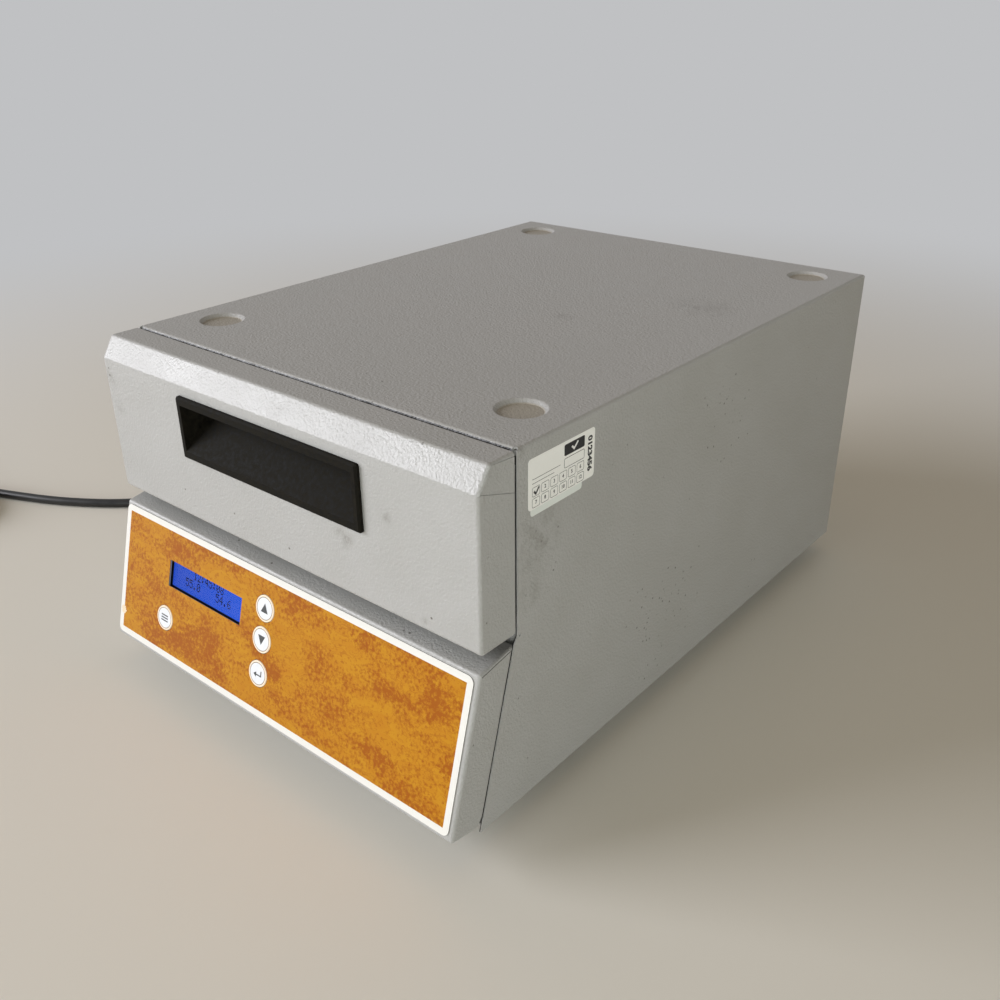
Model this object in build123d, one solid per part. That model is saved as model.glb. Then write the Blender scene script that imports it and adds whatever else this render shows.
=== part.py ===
from build123d import *
import math
import os

# Slide hybridization oven: a folded sheet case, a drop-down front door with a flush pull,
# and a tilted control console below it.
# Sizes are in millimetres. While the pieces are made, x = 0 is the middle of the case,
# y = 0 is the front edge of the cover, y grows to the rear, and z = 0 is the table.

os.makedirs("parts", exist_ok=True)

# ------------------------------------------------------------------ driving sizes
# case
case_width = 305.0
case_depth = 394.0
case_height = 209.0
sheet = 1.2                 # painted steel of the case, the door and the console
fit_gap = 0.3               # between sheets that pass each other
cover_bend = 2.0            # outer radius of the cover's top edges
hem_height = 8.0            # folded lip at the cover's front and rear edges
relief_radius = 1.5         # corner relief holes of the folded sheets
kink_hole_radius = 0.85     # hole in each side, where the front edge starts to slant
kink_hole_back = 1.5
seat_inset_x = 30.6         # stacking seats and feet, from the sides
seat_inset_front = 40.6
seat_inset_rear = 28.9
seat_mouth_radius = 14.0
seat_floor_radius = 11.7
seat_depth = 2.2
seat_rim = 1.2
frame_flange = 8.0
pan_flange = 24.0
vent_rows = 7
pan_vent_length = 34.0
pan_vent_width = 4.0
pan_vent_spacing = 60.0
pan_vent_front = 120.0
pan_vent_pitch = 12.0
rear_vent_length = 38.0
rear_vent_width = 3.5
rear_vent_x = 40.0
rear_vent_spacing = 52.0
rear_vent_rise = 20.0       # lowest rear slot, above the base pan
rear_vent_pitch = 9.0

# feet
foot_height = 15.0
foot_radius = 12.0
foot_taper = 1.0
foot_screw_radius = 2.0
foot_head_radius = 4.0
foot_head_height = 2.6
foot_head_depth = 8.0       # how far the screw head lies up inside the rubber

# door
door_depth = 27.5           # front face, ahead of the cover's edge
door_rear_gap = 2.0         # between the door's edges and the cover
ear_round = 3.4             # lower rear corner of the door's side ears
door_height = 99.6
door_top_step = 0.6         # door top, below the cover's top
bevel_run = 8.1
bevel_drop = 12.6
door_bend = 1.8
pivot_ahead = 13.5          # hinge axis, ahead of the cover's edge
pivot_rise = 8.7            # hinge axis, above the door's lower edge
door_low_round = 2.6
door_top_round = 2.4
seam_depth = 0.4
pin_radius = 3.0
pin_clearance = 0.05
bush_wall = 1.6
bush_flange = 1.5
pivot_plate_thick = 3.0
pivot_plate_foot = 10.0
bracket_thick = 3.0
bracket_arm = 5.0           # half height of the bracket's arm
bracket_inset = 6.5         # outer face of the bracket, from the case's side
gasket_width = 9.0
gasket_gap = 0.3
gasket_margin = 4.0         # between the chamber mouth and the gasket
gasket_corner = 5.0
catch_radius = 6.0

# flush pull
pull_width = 150.4
pull_height = 38.4
pull_drop = 38.7            # middle of the pull, below the cover's top
pull_proud = 2.8
pull_corner = 1.5
pull_hole_corner = 0.5
pull_side_bar = 3.9
pull_top_bar = 4.7
pull_low_bar = 5.2
pull_lap = 2.2              # bezel over the edge of the door's cut-out
pull_wall = 1.8
pull_pocket = 18.6          # depth of the finger pocket, from the door's face
pull_slope = 47.0           # rise of the pocket's sloped back, degrees

# console
console_tilt = 15.4
console_reach = 28.6        # its top front corner, ahead of the cover's edge
door_to_ledge = 10.1        # door's lower edge to that corner
console_depth = 23.3
console_lift = 8.2          # its lower front corner, above the cover's lower edge
ledge_rise = 11.0
console_low_rake = 1.9
console_bend = 1.8
ear_corner = 8.0
seam = 0.6                  # between the console's ears and the cover

# control panel, measured down from the console's top front corner and in from its left side
overlay_thick = 0.5
overlay_left = case_width / 2 - 1.4
overlay_right = case_width / 2 - 3.1
overlay_top = 1.8
overlay_height = 89.2
overlay_corner = 4.0
window_width = 72.4
window_height = 17.4
window_in = 87.9
window_x = window_in - case_width / 2
window_down = 33.3
key_radius = 8.1
key_gap = 0.3
key_proud = 0.8
key_under = 0.9
key_travel = 0.5
stem_radius = 3.0
stem_gap = 0.25
stem_depth = 3.4            # how far a key's stem reaches into its switch
key_column_in = 145.3
mode_key_in = 50.9
key_column_x = key_column_in - case_width / 2
mode_key_x = mode_key_in - case_width / 2
up_key_down = 23.3
down_key_down = 42.9
enter_key_down = 64.5
lens_thick = 1.1
lens_lap = 3.3              # the pane, beyond the window's edges
module_lap = 4.0            # the display's board, beyond its frame
board_thick = 1.6
board_drop = 10.0           # front of the control board, behind the console's face
board_in = 13.5
board_width = 166.0
board_top = 9.0
board_height = 74.0
board_hole_in = 5.0         # its spacers, from its edges
switch_size = 12.0
switch_height = 5.8

# chamber
side_room = 34.5            # from the chamber's sides to the cover's
rear_room = 52.0            # how much shorter the chamber is than the case
chamber_width = case_width - 2 * side_room
chamber_height = 56.0
chamber_depth = case_depth - rear_room
chamber_low = 21.2          # chamber floor, above the door's lower edge
liner_sheet = 1.0
liner_flange = 9.0
mouth_margin = 1.0
mouth_corner = 4.0
heater_thick = 1.2
heater_side = 16.0          # from the chamber's sides
heater_end = 22.0           # from its front and rear
deck_drop = 19.0            # deck plate's top, below the chamber floor
top_insulation = 15.4
rear_insulation = 30.0
guide_width = 10.0
guide_height = 11.0
guide_sheet = 1.2
probe_x = 60.0
probe_z = 185.0
probe_radius = 2.0
probe_inside = 12.0         # how far it reaches into the chamber
probe_outside = 26.0
gland_radius = 6.5
gland_thick = 6.0
probe_pocket = 10.0
stat_x = -60.0
stat_z = 173.0
stat_half = 15.0
stat_plate_half = 6.0
stat_radius = 8.5
stat_deep = 9.0
stat_pocket = 3.0
stat_tab_x = 5.0
tab_half = 3.0
tab_length = 8.0
tab_thick = 0.8

# electronics on the base pan
spacer_radius = 3.0
spacer_bore = 1.6
spacer_height = 8.0
supply_x, supply_y = 50.0, 175.0
supply_width = 88.0
supply_length = 150.0
supply_hole_in = 5.0        # its spacers, from its edges
supply_socket_in = 14.0     # the ribbon's socket, from its front edge
supply_socket_tall = 8.0
# its transformer and heat sinks: corner from the middle of the board, wide, deep, tall
supply_blocks = [(-20.0, -18.0, 34.0, 38.0, 28.0), (-38.0, -40.0, 3.0, 60.0, 34.0), (30.0, -10.0, 3.0, 68.0, 34.0)]
# its capacitors: middle, radius, tall
supply_cans = [(-16.0, 44.0, 11.0, 32.0), (14.0, -40.0, 8.0, 22.0)]
relay_x, relay_y = -70.0, 190.0
relay_width = 44.0
relay_length = 58.0
relay_height = 22.0
relay_wall = 6.0
relay_step = 11.0
relay_drop = 7.0
terminal_radius = 3.5
terminal_height = 4.0
terminal_x = 9.0
terminal_in = 5.0
ribbon_in = 11.0            # middle of the ribbon, from the control board's right edge
ribbon_width = 16.0
ribbon_thick = 1.0
ribbon_down = 60.0          # where it leaves the control board
ribbon_square = 8.0         # its straight run out of the board's socket
ribbon_rise = 38.0          # its hole in the front frame, above the base pan
ribbon_past = 11.3          # where it turns down behind that hole
ribbon_land_y = 58.0        # where it reaches the level of the supply board
ribbon_run_in = 16.0
ribbon_bend = 6.0
ribbon_room = 8.0           # the hole's sides, beyond the ribbon's edges
ribbon_hole_half = 11.0
ribbon_hole_corner = 4.0
socket_lip = 2.0            # the ribbon's sockets, beyond its edges
socket_high = 8.0
socket_tall = 5.0
# the control board's larger parts: in from its left, down from its top, wide, high, tall
board_parts = [(99.0, 51.0, 16.0, 16.0, 2.0), (49.0, 53.0, 24.0, 8.0, 6.0), (141.0, 15.0, 22.0, 10.0, 7.0)]
buzzer_in = 21.0
buzzer_down = 31.0
buzzer_radius = 4.0
buzzer_tall = 8.0

# screws
screw_radius = 1.5
screw_clearance = 0.1
screw_length = 6.0
screw_head_radius = 3.0
screw_head_height = 2.0
door_screw_head_radius = 2.6
door_screw_head_height = 1.4
door_screw_in = 8.0         # from the inside of the door's ears
door_screw_rise = 30.0      # the lower ones, above the hinge axis
door_screw_drop = 34.0      # the upper ones, below the door's top
rear_screw_rise = 24.0
rear_screw_middle = 80.0
rear_screw_drop = 34.0
rear_screw_x = 80.0

# mains parts on the rear panel
mains_z = 62.0              # middle of the inlet and the switch, above the table
inlet_x = -95.0
inlet_width = 28.0
inlet_height = 46.0
inlet_lip = 3.5
inlet_flange = 2.5
inlet_reach = 30.0          # how far the inlet goes into the case
socket_width = 24.4
socket_height = 16.6
socket_depth = 17.0
socket_drop = 9.0           # socket's middle, below the inlet's middle
fuse_width = 20.0
fuse_height = 13.0
fuse_depth = 22.0
fuse_rise = 13.5
switch_x = -40.0
rocker_body_width = 20.0
rocker_body_height = 28.0
rocker_body_reach = 22.0
rocker_lip = 2.5
rocker_frame = 2.5
rocker_radius = 10.5
rocker_half_width = 6.5
rocker_gap = 0.4
rocker_lean = 8.0           # each side of level, degrees
rocker_stub = 1.6
stub_length = 1.8
stub_gap = 0.06

# mains lead
lead_radius = 3.7
connector_width = 28.0
connector_height = 20.0
connector_length = 30.0
relief_length = 28.0
coil_gap = 0.8              # between neighbouring turns
coil_inner_radius = 31.0
coil_half_turns_in = 5
coil_half_turns_out = 4
plug_width = 26.0
plug_length = 34.0

# ------------------------------------------------------------------ derived places
half = case_width / 2
inner = half - sheet                       # inside of the cover's sides
frame_half = inner - fit_gap
case_low = foot_height
case_top = case_low + case_height
base_top = case_low + sheet
frame_y = sheet + fit_gap                  # front face of the front frame
frame_back = frame_y + sheet
frame_top = case_top - sheet - fit_gap
rear_out = case_depth - sheet              # outer face of the rear panel
rear_in = rear_out - sheet
inside_half = frame_half - sheet - fit_gap     # inside of the frame's side flanges
seat_spots = [(side * (half - seat_inset_x), y)
              for y in (seat_inset_front, case_depth - seat_inset_rear) for side in (-1, 1)]

door_front = -door_depth
door_back = -door_rear_gap
door_top = case_top - door_top_step
door_low = door_top - door_height
panel_back = door_back - 0.4               # rear face of the door's inner panel
panel_front = panel_back - sheet
pivot_y = -pivot_ahead
pivot_z = door_low + pivot_rise
pull_z = case_top - pull_drop
pull_hole_half = pull_width / 2 - pull_lap
pull_hole_up = pull_height / 2 - pull_lap
bracket_out = half - bracket_inset         # outer face of a hinge bracket
bracket_in = bracket_out - bracket_thick
plate_out = bracket_in - fit_gap - bush_flange
plate_in = plate_out - pivot_plate_thick
plate_foot_in = plate_in - pivot_plate_foot
notch_in = plate_out - fit_gap             # the door's notches round the brackets
door_screw_x = inner - door_screw_in
door_screw_spots = [(side * door_screw_x, z)
                    for z in (pivot_z + door_screw_rise, door_top - door_screw_drop) for side in (-1, 1)]

floor_z = door_low + chamber_low           # inside floor of the chamber
ceiling_z = floor_z + chamber_height
chamber_half = chamber_width / 2
liner_half = chamber_half + liner_sheet
liner_low = floor_z - liner_sheet
liner_top = ceiling_z + liner_sheet
liner_back = frame_back + liner_sheet + chamber_depth
insulation_front = frame_back + liner_sheet + fit_gap
insulation_top_z = liner_top + heater_thick + top_insulation
insulation_rear_y = liner_back + fit_gap
deck_top = floor_z - deck_drop
gasket_in_x = chamber_half + mouth_margin + gasket_margin
gasket_in_low = floor_z - mouth_margin - gasket_margin
gasket_in_top = ceiling_z + mouth_margin + gasket_margin
catch_x = gasket_in_x + gasket_width + catch_radius + 4.0
catch_z = case_top - hem_height - catch_radius - 1.0

tilt = math.radians(console_tilt)
ledge_z = door_low - door_to_ledge
face_length = (ledge_z - case_low - console_lift) / math.cos(tilt)
key_spots = {"key_up": (key_column_x, up_key_down), "key_down": (key_column_x, down_key_down),
             "key_enter": (key_column_x, enter_key_down), "key_mode": (mode_key_x, enter_key_down)}
switch_front = -board_drop + switch_height
board_rear = -board_drop - board_thick
board_left = board_in - half
board_right = board_left + board_width
board_low = board_top + board_height
board_spacer_spots = [(x, down) for x in (board_left + board_hole_in, board_right - board_hole_in)
                      for down in (board_top + board_hole_in, board_low - board_hole_in)]
ribbon_x = board_right - ribbon_in
lens_front = -sheet - 0.1
lens_rear = lens_front - lens_thick

lip_middle = (hem_height + sheet) / 2
rear_screw_spots = ([(side * (half - lip_middle), z)
                     for z in (case_low + rear_screw_rise, case_low + rear_screw_middle,
                               case_top - rear_screw_drop) for side in (-1, 1)]
                    + [(side * rear_screw_x, case_top - lip_middle) for side in (-1, 1)])
ribbon_hole_z = base_top + ribbon_rise
supply_low = base_top + spacer_height
supply_top = supply_low + board_thick
ribbon_half = ribbon_width / 2
ribbon_end_y = supply_y - supply_length / 2 + supply_socket_in
supply_spacer_spots = [(supply_x + sx * (supply_width / 2 - supply_hole_in),
                        supply_y + sy * (supply_length / 2 - supply_hole_in))
                       for sx in (-1, 1) for sy in (-1, 1)]
connector_z = mains_z - socket_drop
inlet_face = rear_out + inlet_flange
inlet_pin_spots = [(inlet_x - 7, connector_z - 1.5), (inlet_x + 7, connector_z - 1.5),
                   (inlet_x, connector_z + 2.5)]
lead_start_y = inlet_face + connector_length + relief_length
lead_rest = lead_radius + 0.05             # axis of the lead where it lies on the table
coil_pitch = 2 * lead_radius + coil_gap
plug_axis = lead_rest + coil_pitch         # the top layer's height, and half the plug's

# the lead's free stretches, chosen to follow the real one round the left side
lead_route = [
    (inlet_x, lead_start_y, connector_z),
    (inlet_x, lead_start_y + 28, connector_z),
    (inlet_x - 8, lead_start_y + 53.7, connector_z - 11),
    (inlet_x - 28, lead_start_y + 70.7, connector_z - 27),
    (inlet_x - 57, lead_start_y + 74.7, connector_z - 42),
    (inlet_x - 91, lead_start_y + 67.7, lead_rest),
    (inlet_x - 122, lead_start_y + 44.7, lead_rest),
    (inlet_x - 145, lead_start_y + 8.7, lead_rest),
    (inlet_x - 161, lead_start_y - 41.3, lead_rest),
    (-269, 352, lead_rest),
    (-279, 290, lead_rest),
    (-290, 218, lead_rest),
    (-310, 150, lead_rest),
    (-346, 84, lead_rest),
    (-402, 43, lead_rest),
    (-462, 16.5, lead_rest),
    (-494, 4.7, lead_rest),
]


# ------------------------------------------------------------------ helpers
def block(x0, x1, y0, y1, z0, z1):
    """A box between two corners."""
    return Pos((x0 + x1) / 2, (y0 + y1) / 2, (z0 + z1) / 2) * Box(abs(x1 - x0), abs(y1 - y0), abs(z1 - z0))


def across(points, x0, x1, rounds=()):
    """A side outline of (y, z) points swept from x0 to x1; rounds gives corner radii by index."""
    face = make_face(Polyline(*points, close=True))
    for index, radius in rounds:
        corner = Vector(points[index][0], points[index][1], 0)
        near = min(face.vertices(), key=lambda v: (Vector(v.X, v.Y, v.Z) - corner).length)
        face = fillet(near, radius)
    return Pos(min(x0, x1), 0, 0) * extrude(Plane.YZ * face, abs(x1 - x0))


def rod_x(radius, x0, x1, y, z):
    return Pos((x0 + x1) / 2, y, z) * Rot(0, 90, 0) * Cylinder(radius, abs(x1 - x0))


def rod_y(radius, y0, y1, x, z):
    return Pos(x, (y0 + y1) / 2, z) * Rot(90, 0, 0) * Cylinder(radius, abs(y1 - y0))


def rod_z(radius, z0, z1, x, y):
    return Pos(x, y, (z0 + z1) / 2) * Cylinder(radius, abs(z1 - z0))


def round_plate(x0, x1, z0, z1, y0, y1, radius):
    """An upright plate with rounded corners, from y0 to y1."""
    face = RectangleRounded(x1 - x0, z1 - z0, radius)
    plate = extrude(Plane.XZ * face, -(y1 - y0))
    return Pos((x0 + x1) / 2, y0, (z0 + z1) / 2) * plate


def edges_at(shape, x=None, y=None, z=None, tol=0.01):
    """Edges that lie wholly at the given coordinates, x on either side."""
    found = ShapeList()
    for edge in shape.edges():
        box = edge.bounding_box()
        fits = True
        if x is not None:
            fits = fits and abs(abs(box.min.X) - x) < tol and abs(abs(box.max.X) - x) < tol
        if y is not None:
            fits = fits and abs(box.min.Y - y) < tol and abs(box.max.Y - y) < tol
        if z is not None:
            fits = fits and abs(box.min.Z - z) < tol and abs(box.max.Z - z) < tol
        if fits:
            found.append(edge)
    return found


def pan_head_screw(radius, head_radius, head_height, length):
    """A screw along +Z: the shank from 0 down, the domed head above."""
    head = Cylinder(head_radius, head_height)
    head = fillet(head.edges().sort_by(Axis.Z)[-1], head_height * 0.45)
    shank = Pos(0, 0, -length / 2) * Cylinder(radius, length)
    return shank + Pos(0, 0, head_height / 2) * head


def panel_yz(down, out):
    """Case (y, z) of a point so far down the console's face and out from it."""
    y = -console_reach - down * math.sin(tilt) - out * math.cos(tilt)
    z = ledge_z - down * math.cos(tilt) + out * math.sin(tilt)
    return y, z


panel_plane = Plane(origin=(0, *panel_yz(0, 0)), x_dir=(1, 0, 0),
                    z_dir=(0, -math.cos(tilt), math.sin(tilt)))


def on_panel(shape, x, down, out):
    """Place a shape modelled about its own origin on the console's face."""
    return panel_plane * Pos(x, -down, out) * shape


def panel_block(x0, x1, down0, down1, out0, out1):
    solid = Box(x1 - x0, down1 - down0, out1 - out0)
    return on_panel(solid, (x0 + x1) / 2, (down0 + down1) / 2, (out0 + out1) / 2)


def panel_rod(radius, x, down, out0, out1):
    return on_panel(Cylinder(radius, out1 - out0), x, down, (out0 + out1) / 2)


# ------------------------------------------------------------------ case
def cover():
    """Top and both sides in one folded sheet, with lips at the front and the rear."""
    toe_depth = -(console_depth + seam)
    toe_top = panel_yz(-ledge_rise, toe_depth)
    toe_down = (ledge_z + toe_depth * math.sin(tilt) - case_low) / math.cos(tilt)
    toe_low = panel_yz(toe_down, toe_depth)
    kink_z = toe_top[1] + relief_radius * 2.8
    side = [(0, case_top), (0, kink_z), toe_top, toe_low, (case_depth, case_low), (case_depth, case_top)]
    shell = across(side, -half, half)
    shell = fillet([e for e in edges_at(shell, x=half) if abs(e.center().Z - case_top) < 0.01], cover_bend)
    lip_low = case_top - hem_height
    shell -= block(-inner, inner, toe_low[0] - 1, rear_out, case_low - 1, lip_low)
    shell -= block(-inner, inner, sheet, rear_out, case_low - 1, case_top - sheet)
    lip_in = half - hem_height
    shell -= block(-lip_in, lip_in, rear_in, case_depth + 1, case_low - 1, lip_low)
    for x, y in seat_spots:
        shell += stacking_seat(x, y)
        shell -= seat_hollow(x, y)
    rims = [e for e in edges_at(shell, z=case_top).filter_by(GeomType.CIRCLE)
            if abs(e.radius - seat_mouth_radius) < 0.01]
    shell = fillet(rims, seat_rim)
    for side_x in (-1, 1):
        corner_x = side_x * (inner - relief_radius / 2)
        shell -= rod_z(relief_radius, case_top - 3 * sheet, case_top + 1, corner_x, sheet / 2)
        shell -= rod_x(kink_hole_radius, side_x * (half - 3), side_x * (half + 3), kink_hole_back, kink_z)
    for x, z in rear_screw_spots:
        shell -= rod_y(screw_radius + screw_clearance, rear_out - 1, case_depth + 1, x, z)
    return shell


def stacking_seat(x, y):
    """The drawn metal under a seat."""
    drawn = Cone(seat_floor_radius + sheet, seat_mouth_radius + sheet, seat_depth)
    return Pos(x, y, case_top - sheet - seat_depth / 2) * drawn


def seat_hollow(x, y):
    hollow = Cone(seat_floor_radius, seat_mouth_radius, seat_depth)
    return Pos(x, y, case_top - seat_depth / 2) * hollow


def base_pan():
    """Floor of the case, with side flanges inside the cover and vent slots."""
    front = panel_yz(face_length, -console_depth)[0] + 4
    pan = block(-frame_half, frame_half, front, rear_out, case_low, base_top)
    for side_x in (-1, 1):
        pan += block(side_x * frame_half, side_x * (frame_half - sheet), frame_back + frame_flange + 2,
                     rear_in - fit_gap, base_top, base_top + pan_flange)
    slot = extrude(SlotOverall(pan_vent_length, pan_vent_width), 4 * sheet, both=True)
    for x in (-pan_vent_spacing, 0, pan_vent_spacing):
        for row in range(vent_rows):
            pan -= Pos(x, pan_vent_front + pan_vent_pitch * row, case_low) * slot
    for x, y in seat_spots:
        pan -= rod_z(foot_screw_radius + screw_clearance, case_low - 1, base_top + 1, x, y)
    return pan


def front_frame():
    """Upright plate behind the door and the console, with the chamber's mouth."""
    frame = block(-frame_half, frame_half, frame_y, frame_back, base_top, frame_top)
    for side_x in (-1, 1):
        frame += block(side_x * frame_half, side_x * (frame_half - sheet),
                       frame_back, frame_back + frame_flange, base_top, frame_top)
    frame -= round_plate(-chamber_half - mouth_margin, chamber_half + mouth_margin,
                         floor_z - mouth_margin, ceiling_z + mouth_margin,
                         frame_y - 1, frame_back + 1, mouth_corner)
    ribbon_hole = round_plate(ribbon_x - ribbon_half - ribbon_room, ribbon_x + ribbon_half + ribbon_room,
                              ribbon_hole_z - ribbon_hole_half, ribbon_hole_z + ribbon_hole_half,
                              frame_y - 1, frame_back + 1, ribbon_hole_corner)
    return frame - ribbon_hole


def rear_panel():
    """Rear wall with the cut-outs of the mains parts and two fields of vent slots."""
    panel = block(-frame_half, frame_half, rear_in, rear_out, base_top, frame_top)
    for x, width, height in ((inlet_x, inlet_width, inlet_height),
                             (switch_x, rocker_body_width, rocker_body_height)):
        panel -= block(x - width / 2 - fit_gap, x + width / 2 + fit_gap, rear_in - 1, rear_out + 1,
                       mains_z - height / 2 - fit_gap, mains_z + height / 2 + fit_gap)
    slot = extrude(Plane.XZ * SlotOverall(rear_vent_length, rear_vent_width), 4 * sheet, both=True)
    for x in (rear_vent_x, rear_vent_x + rear_vent_spacing):
        for row in range(vent_rows):
            panel -= Pos(x, rear_out, base_top + rear_vent_rise + rear_vent_pitch * row) * slot
    for x, z in rear_screw_spots:
        panel -= rod_y(screw_radius, rear_in - 1, rear_out + 1, x, z)
    return panel


def rear_screws():
    """Screws through the cover's rear lips into the rear panel."""
    screw = Rot(-90, 0, 0) * pan_head_screw(screw_radius, screw_head_radius, screw_head_height, screw_length)
    return [Pos(x, case_depth, z) * screw for x, z in rear_screw_spots]


def deck_plate():
    """Shelf between the chamber above and the electronics below."""
    deck = block(-inside_half, inside_half, frame_back, rear_in, deck_top - sheet, deck_top)
    for y0, y1 in ((frame_back, frame_back + sheet), (rear_in - sheet, rear_in)):
        deck += block(-inside_half, inside_half, y0, y1, deck_top - 12, deck_top - sheet)
    return deck - rod_z(7, deck_top - 3, deck_top + 1, 118, rear_in - 22)


# ------------------------------------------------------------------ chamber
def chamber_liner():
    """Five-walled box, open to the front, with a flange behind the front frame."""
    box = block(-liner_half, liner_half, frame_back, liner_back, liner_low, liner_top)
    box += block(-liner_half - liner_flange, liner_half + liner_flange, frame_back,
                 frame_back + liner_sheet, liner_low - liner_flange, liner_top + liner_flange)
    box -= block(-chamber_half, chamber_half, frame_back - 1, liner_back - liner_sheet, floor_z, ceiling_z)
    return box - rod_y(probe_radius, liner_back - 5, liner_back + 1, probe_x, probe_z)


def insulation_blocks():
    """Mineral wool round the liner, the rear one with pockets for the sensor and the cut-out."""
    side_in = liner_half + fit_gap
    rear = block(-inside_half, inside_half, insulation_rear_y, insulation_rear_y + rear_insulation,
                 deck_top, insulation_top_z)
    for x, z, wide, high in ((probe_x, probe_z, probe_pocket, probe_pocket),
                             (stat_x, stat_z, stat_half + stat_pocket, stat_radius + stat_pocket)):
        rear -= block(x - wide, x + wide, insulation_rear_y - 1, insulation_rear_y + rear_insulation + 1,
                      z - high, z + high)
    return {
        "insulation_bottom": block(-liner_half, liner_half, insulation_front, liner_back,
                                   deck_top, liner_low - heater_thick),
        "insulation_top": block(-liner_half, liner_half, insulation_front, liner_back,
                                liner_top + heater_thick, insulation_top_z),
        "insulation_left": block(-inside_half, -side_in, insulation_front, liner_back,
                                 deck_top, insulation_top_z),
        "insulation_right": block(side_in, inside_half, insulation_front, liner_back,
                                  deck_top, insulation_top_z),
        "insulation_rear": rear,
    }


def heater_mat(z):
    """A flat silicone heater mat against the liner."""
    return block(-chamber_half + heater_side, chamber_half - heater_side, frame_back + heater_end,
                 liner_back - heater_end, z, z + heater_thick)


def temperature_probe():
    """Sheathed sensor through the rear wall, held by a hexagonal gland."""
    probe = rod_y(probe_radius, liner_back - liner_sheet - probe_inside, liner_back + probe_outside,
                  probe_x, probe_z)
    nut = extrude(Plane.XZ * RegularPolygon(gland_radius, 6), -gland_thick)
    return probe + Pos(probe_x, liner_back, probe_z) * nut


def safety_thermostat():
    """Bimetal cut-out screwed flat to the liner's rear wall."""
    plate_back = liner_back + sheet
    body_back = plate_back + stat_deep
    body = block(stat_x - stat_half, stat_x + stat_half, liner_back, plate_back,
                 stat_z - stat_plate_half, stat_z + stat_plate_half)
    body += rod_y(stat_radius, plate_back, body_back, stat_x, stat_z)
    for x in (stat_x - stat_tab_x, stat_x + stat_tab_x):
        body += block(x - tab_half, x + tab_half, body_back, body_back + tab_length,
                      stat_z - tab_thick / 2, stat_z + tab_thick / 2)
    return body


def tray_guide(side_x):
    """Angle strip along the chamber's side, which guides the slide tray."""
    y0, y1 = frame_back + 10, liner_back - 16
    outer = side_x * chamber_half
    strip = block(side_x * (chamber_half - guide_width), outer, y0, y1, floor_z, floor_z + guide_sheet)
    leg = block(side_x * (chamber_half - guide_sheet), outer, y0, y1, floor_z, floor_z + guide_height)
    return strip + leg


# ------------------------------------------------------------------ door
def door_skin():
    """Outer pan of the door: face, bevel, top, bottom and side ears, open to the rear."""
    outline = [(door_back, door_low), (door_front, door_low), (door_front, door_top - bevel_drop),
               (door_front + bevel_run, door_top), (door_back, door_top)]
    solid = across(outline, -half, half, [(1, door_low_round), (2, door_bend), (3, door_top_round)])
    contour = [e for e in edges_at(solid, x=half) if e.bounding_box().max.Y < door_back - 0.5]
    solid = fillet(contour, door_bend)
    bevel_angle = math.atan2(bevel_drop, bevel_run)
    rise = sheet * math.tan(bevel_angle / 2)
    drop = sheet * math.tan((math.pi / 2 - bevel_angle) / 2)
    hollow = [(door_back + 1, door_low + sheet), (door_front + sheet, door_low + sheet),
              (door_front + sheet, door_top - bevel_drop - drop),
              (door_front + bevel_run + rise, door_top - sheet), (door_back + 1, door_top - sheet)]
    solid -= across(hollow, -inner, inner)
    solid -= round_plate(-pull_hole_half, pull_hole_half, pull_z - pull_hole_up, pull_z + pull_hole_up,
                         door_front - 1, door_front + sheet + 1, pull_hole_corner)
    for side_x in (-1, 1):
        solid -= block(side_x * notch_in, side_x * inner, pivot_y - bracket_arm - 1, door_back + 1,
                       door_low - 1, door_low + sheet + 0.5)
        solid -= ear_corner_cut(side_x)
        for groove in ear_seams(side_x):
            solid -= groove
    for x, z in door_screw_spots:
        solid += ear_block(x, z)
    return solid


def ear_corner_cut(side_x):
    """The metal outside the rounded lower rear corner of an ear, which swings past the cover's edge."""
    start, end = side_x * (inner - fit_gap), side_x * (half + 1)
    middle_y, middle_z = door_back - ear_round, door_low + ear_round
    return (block(start, end, middle_y, door_back + 1, door_low - 1, middle_z)
            - rod_x(ear_round, start - side_x, end + side_x, middle_y, middle_z))


def ear_seams(side_x):
    """Fine grooves where the folded ears of the bevel meet on the door's side."""
    seams = [((door_front + 1.5, door_top - bevel_drop), (door_back + 0.1, door_top - bevel_drop - 8.0)),
             ((door_front + bevel_run + 1.5, door_top - 0.8), (door_back + 0.1, door_top - 2.0))]
    cuts = []
    for start, end in seams:
        angle = math.degrees(math.atan2(end[1] - start[1], end[0] - start[0]))
        groove = Box(2 * seam_depth, math.dist(start, end), seam_depth)
        middle = ((start[0] + end[0]) / 2, (start[1] + end[1]) / 2)
        cuts.append(Pos(side_x * half, *middle) * Rot(angle, 0, 0) * groove)
    return cuts


def ear_block(x, z):
    """A threaded block on the inside of the door's ear, for an inner panel screw."""
    side_x = 1 if x > 0 else -1
    piece = block(side_x * inner, x - side_x * 5, panel_front - 10, panel_front, z - 5, z + 5)
    return piece - rod_y(screw_radius, panel_front - 8, panel_front + 1, x, z)


def door_inner_panel():
    """Flat plate that closes the rear of the door, notched round the hinge brackets."""
    panel = block(-frame_half, frame_half, panel_front, panel_back,
                  door_low + sheet + fit_gap, door_top - sheet - fit_gap)
    for side_x in (-1, 1):
        panel -= block(side_x * notch_in, side_x * half, panel_front - 1, panel_back + 1,
                       door_low, pivot_z + 18)
    for x, z in door_screw_spots:
        panel -= rod_y(screw_radius, panel_front - 1, panel_back + 1, x, z)
    return panel


def door_screws():
    screw = Rot(-90, 0, 0) * pan_head_screw(screw_radius, door_screw_head_radius,
                                            door_screw_head_height, screw_length)
    return [Pos(x, panel_back, z) * screw for x, z in door_screw_spots]


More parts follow.
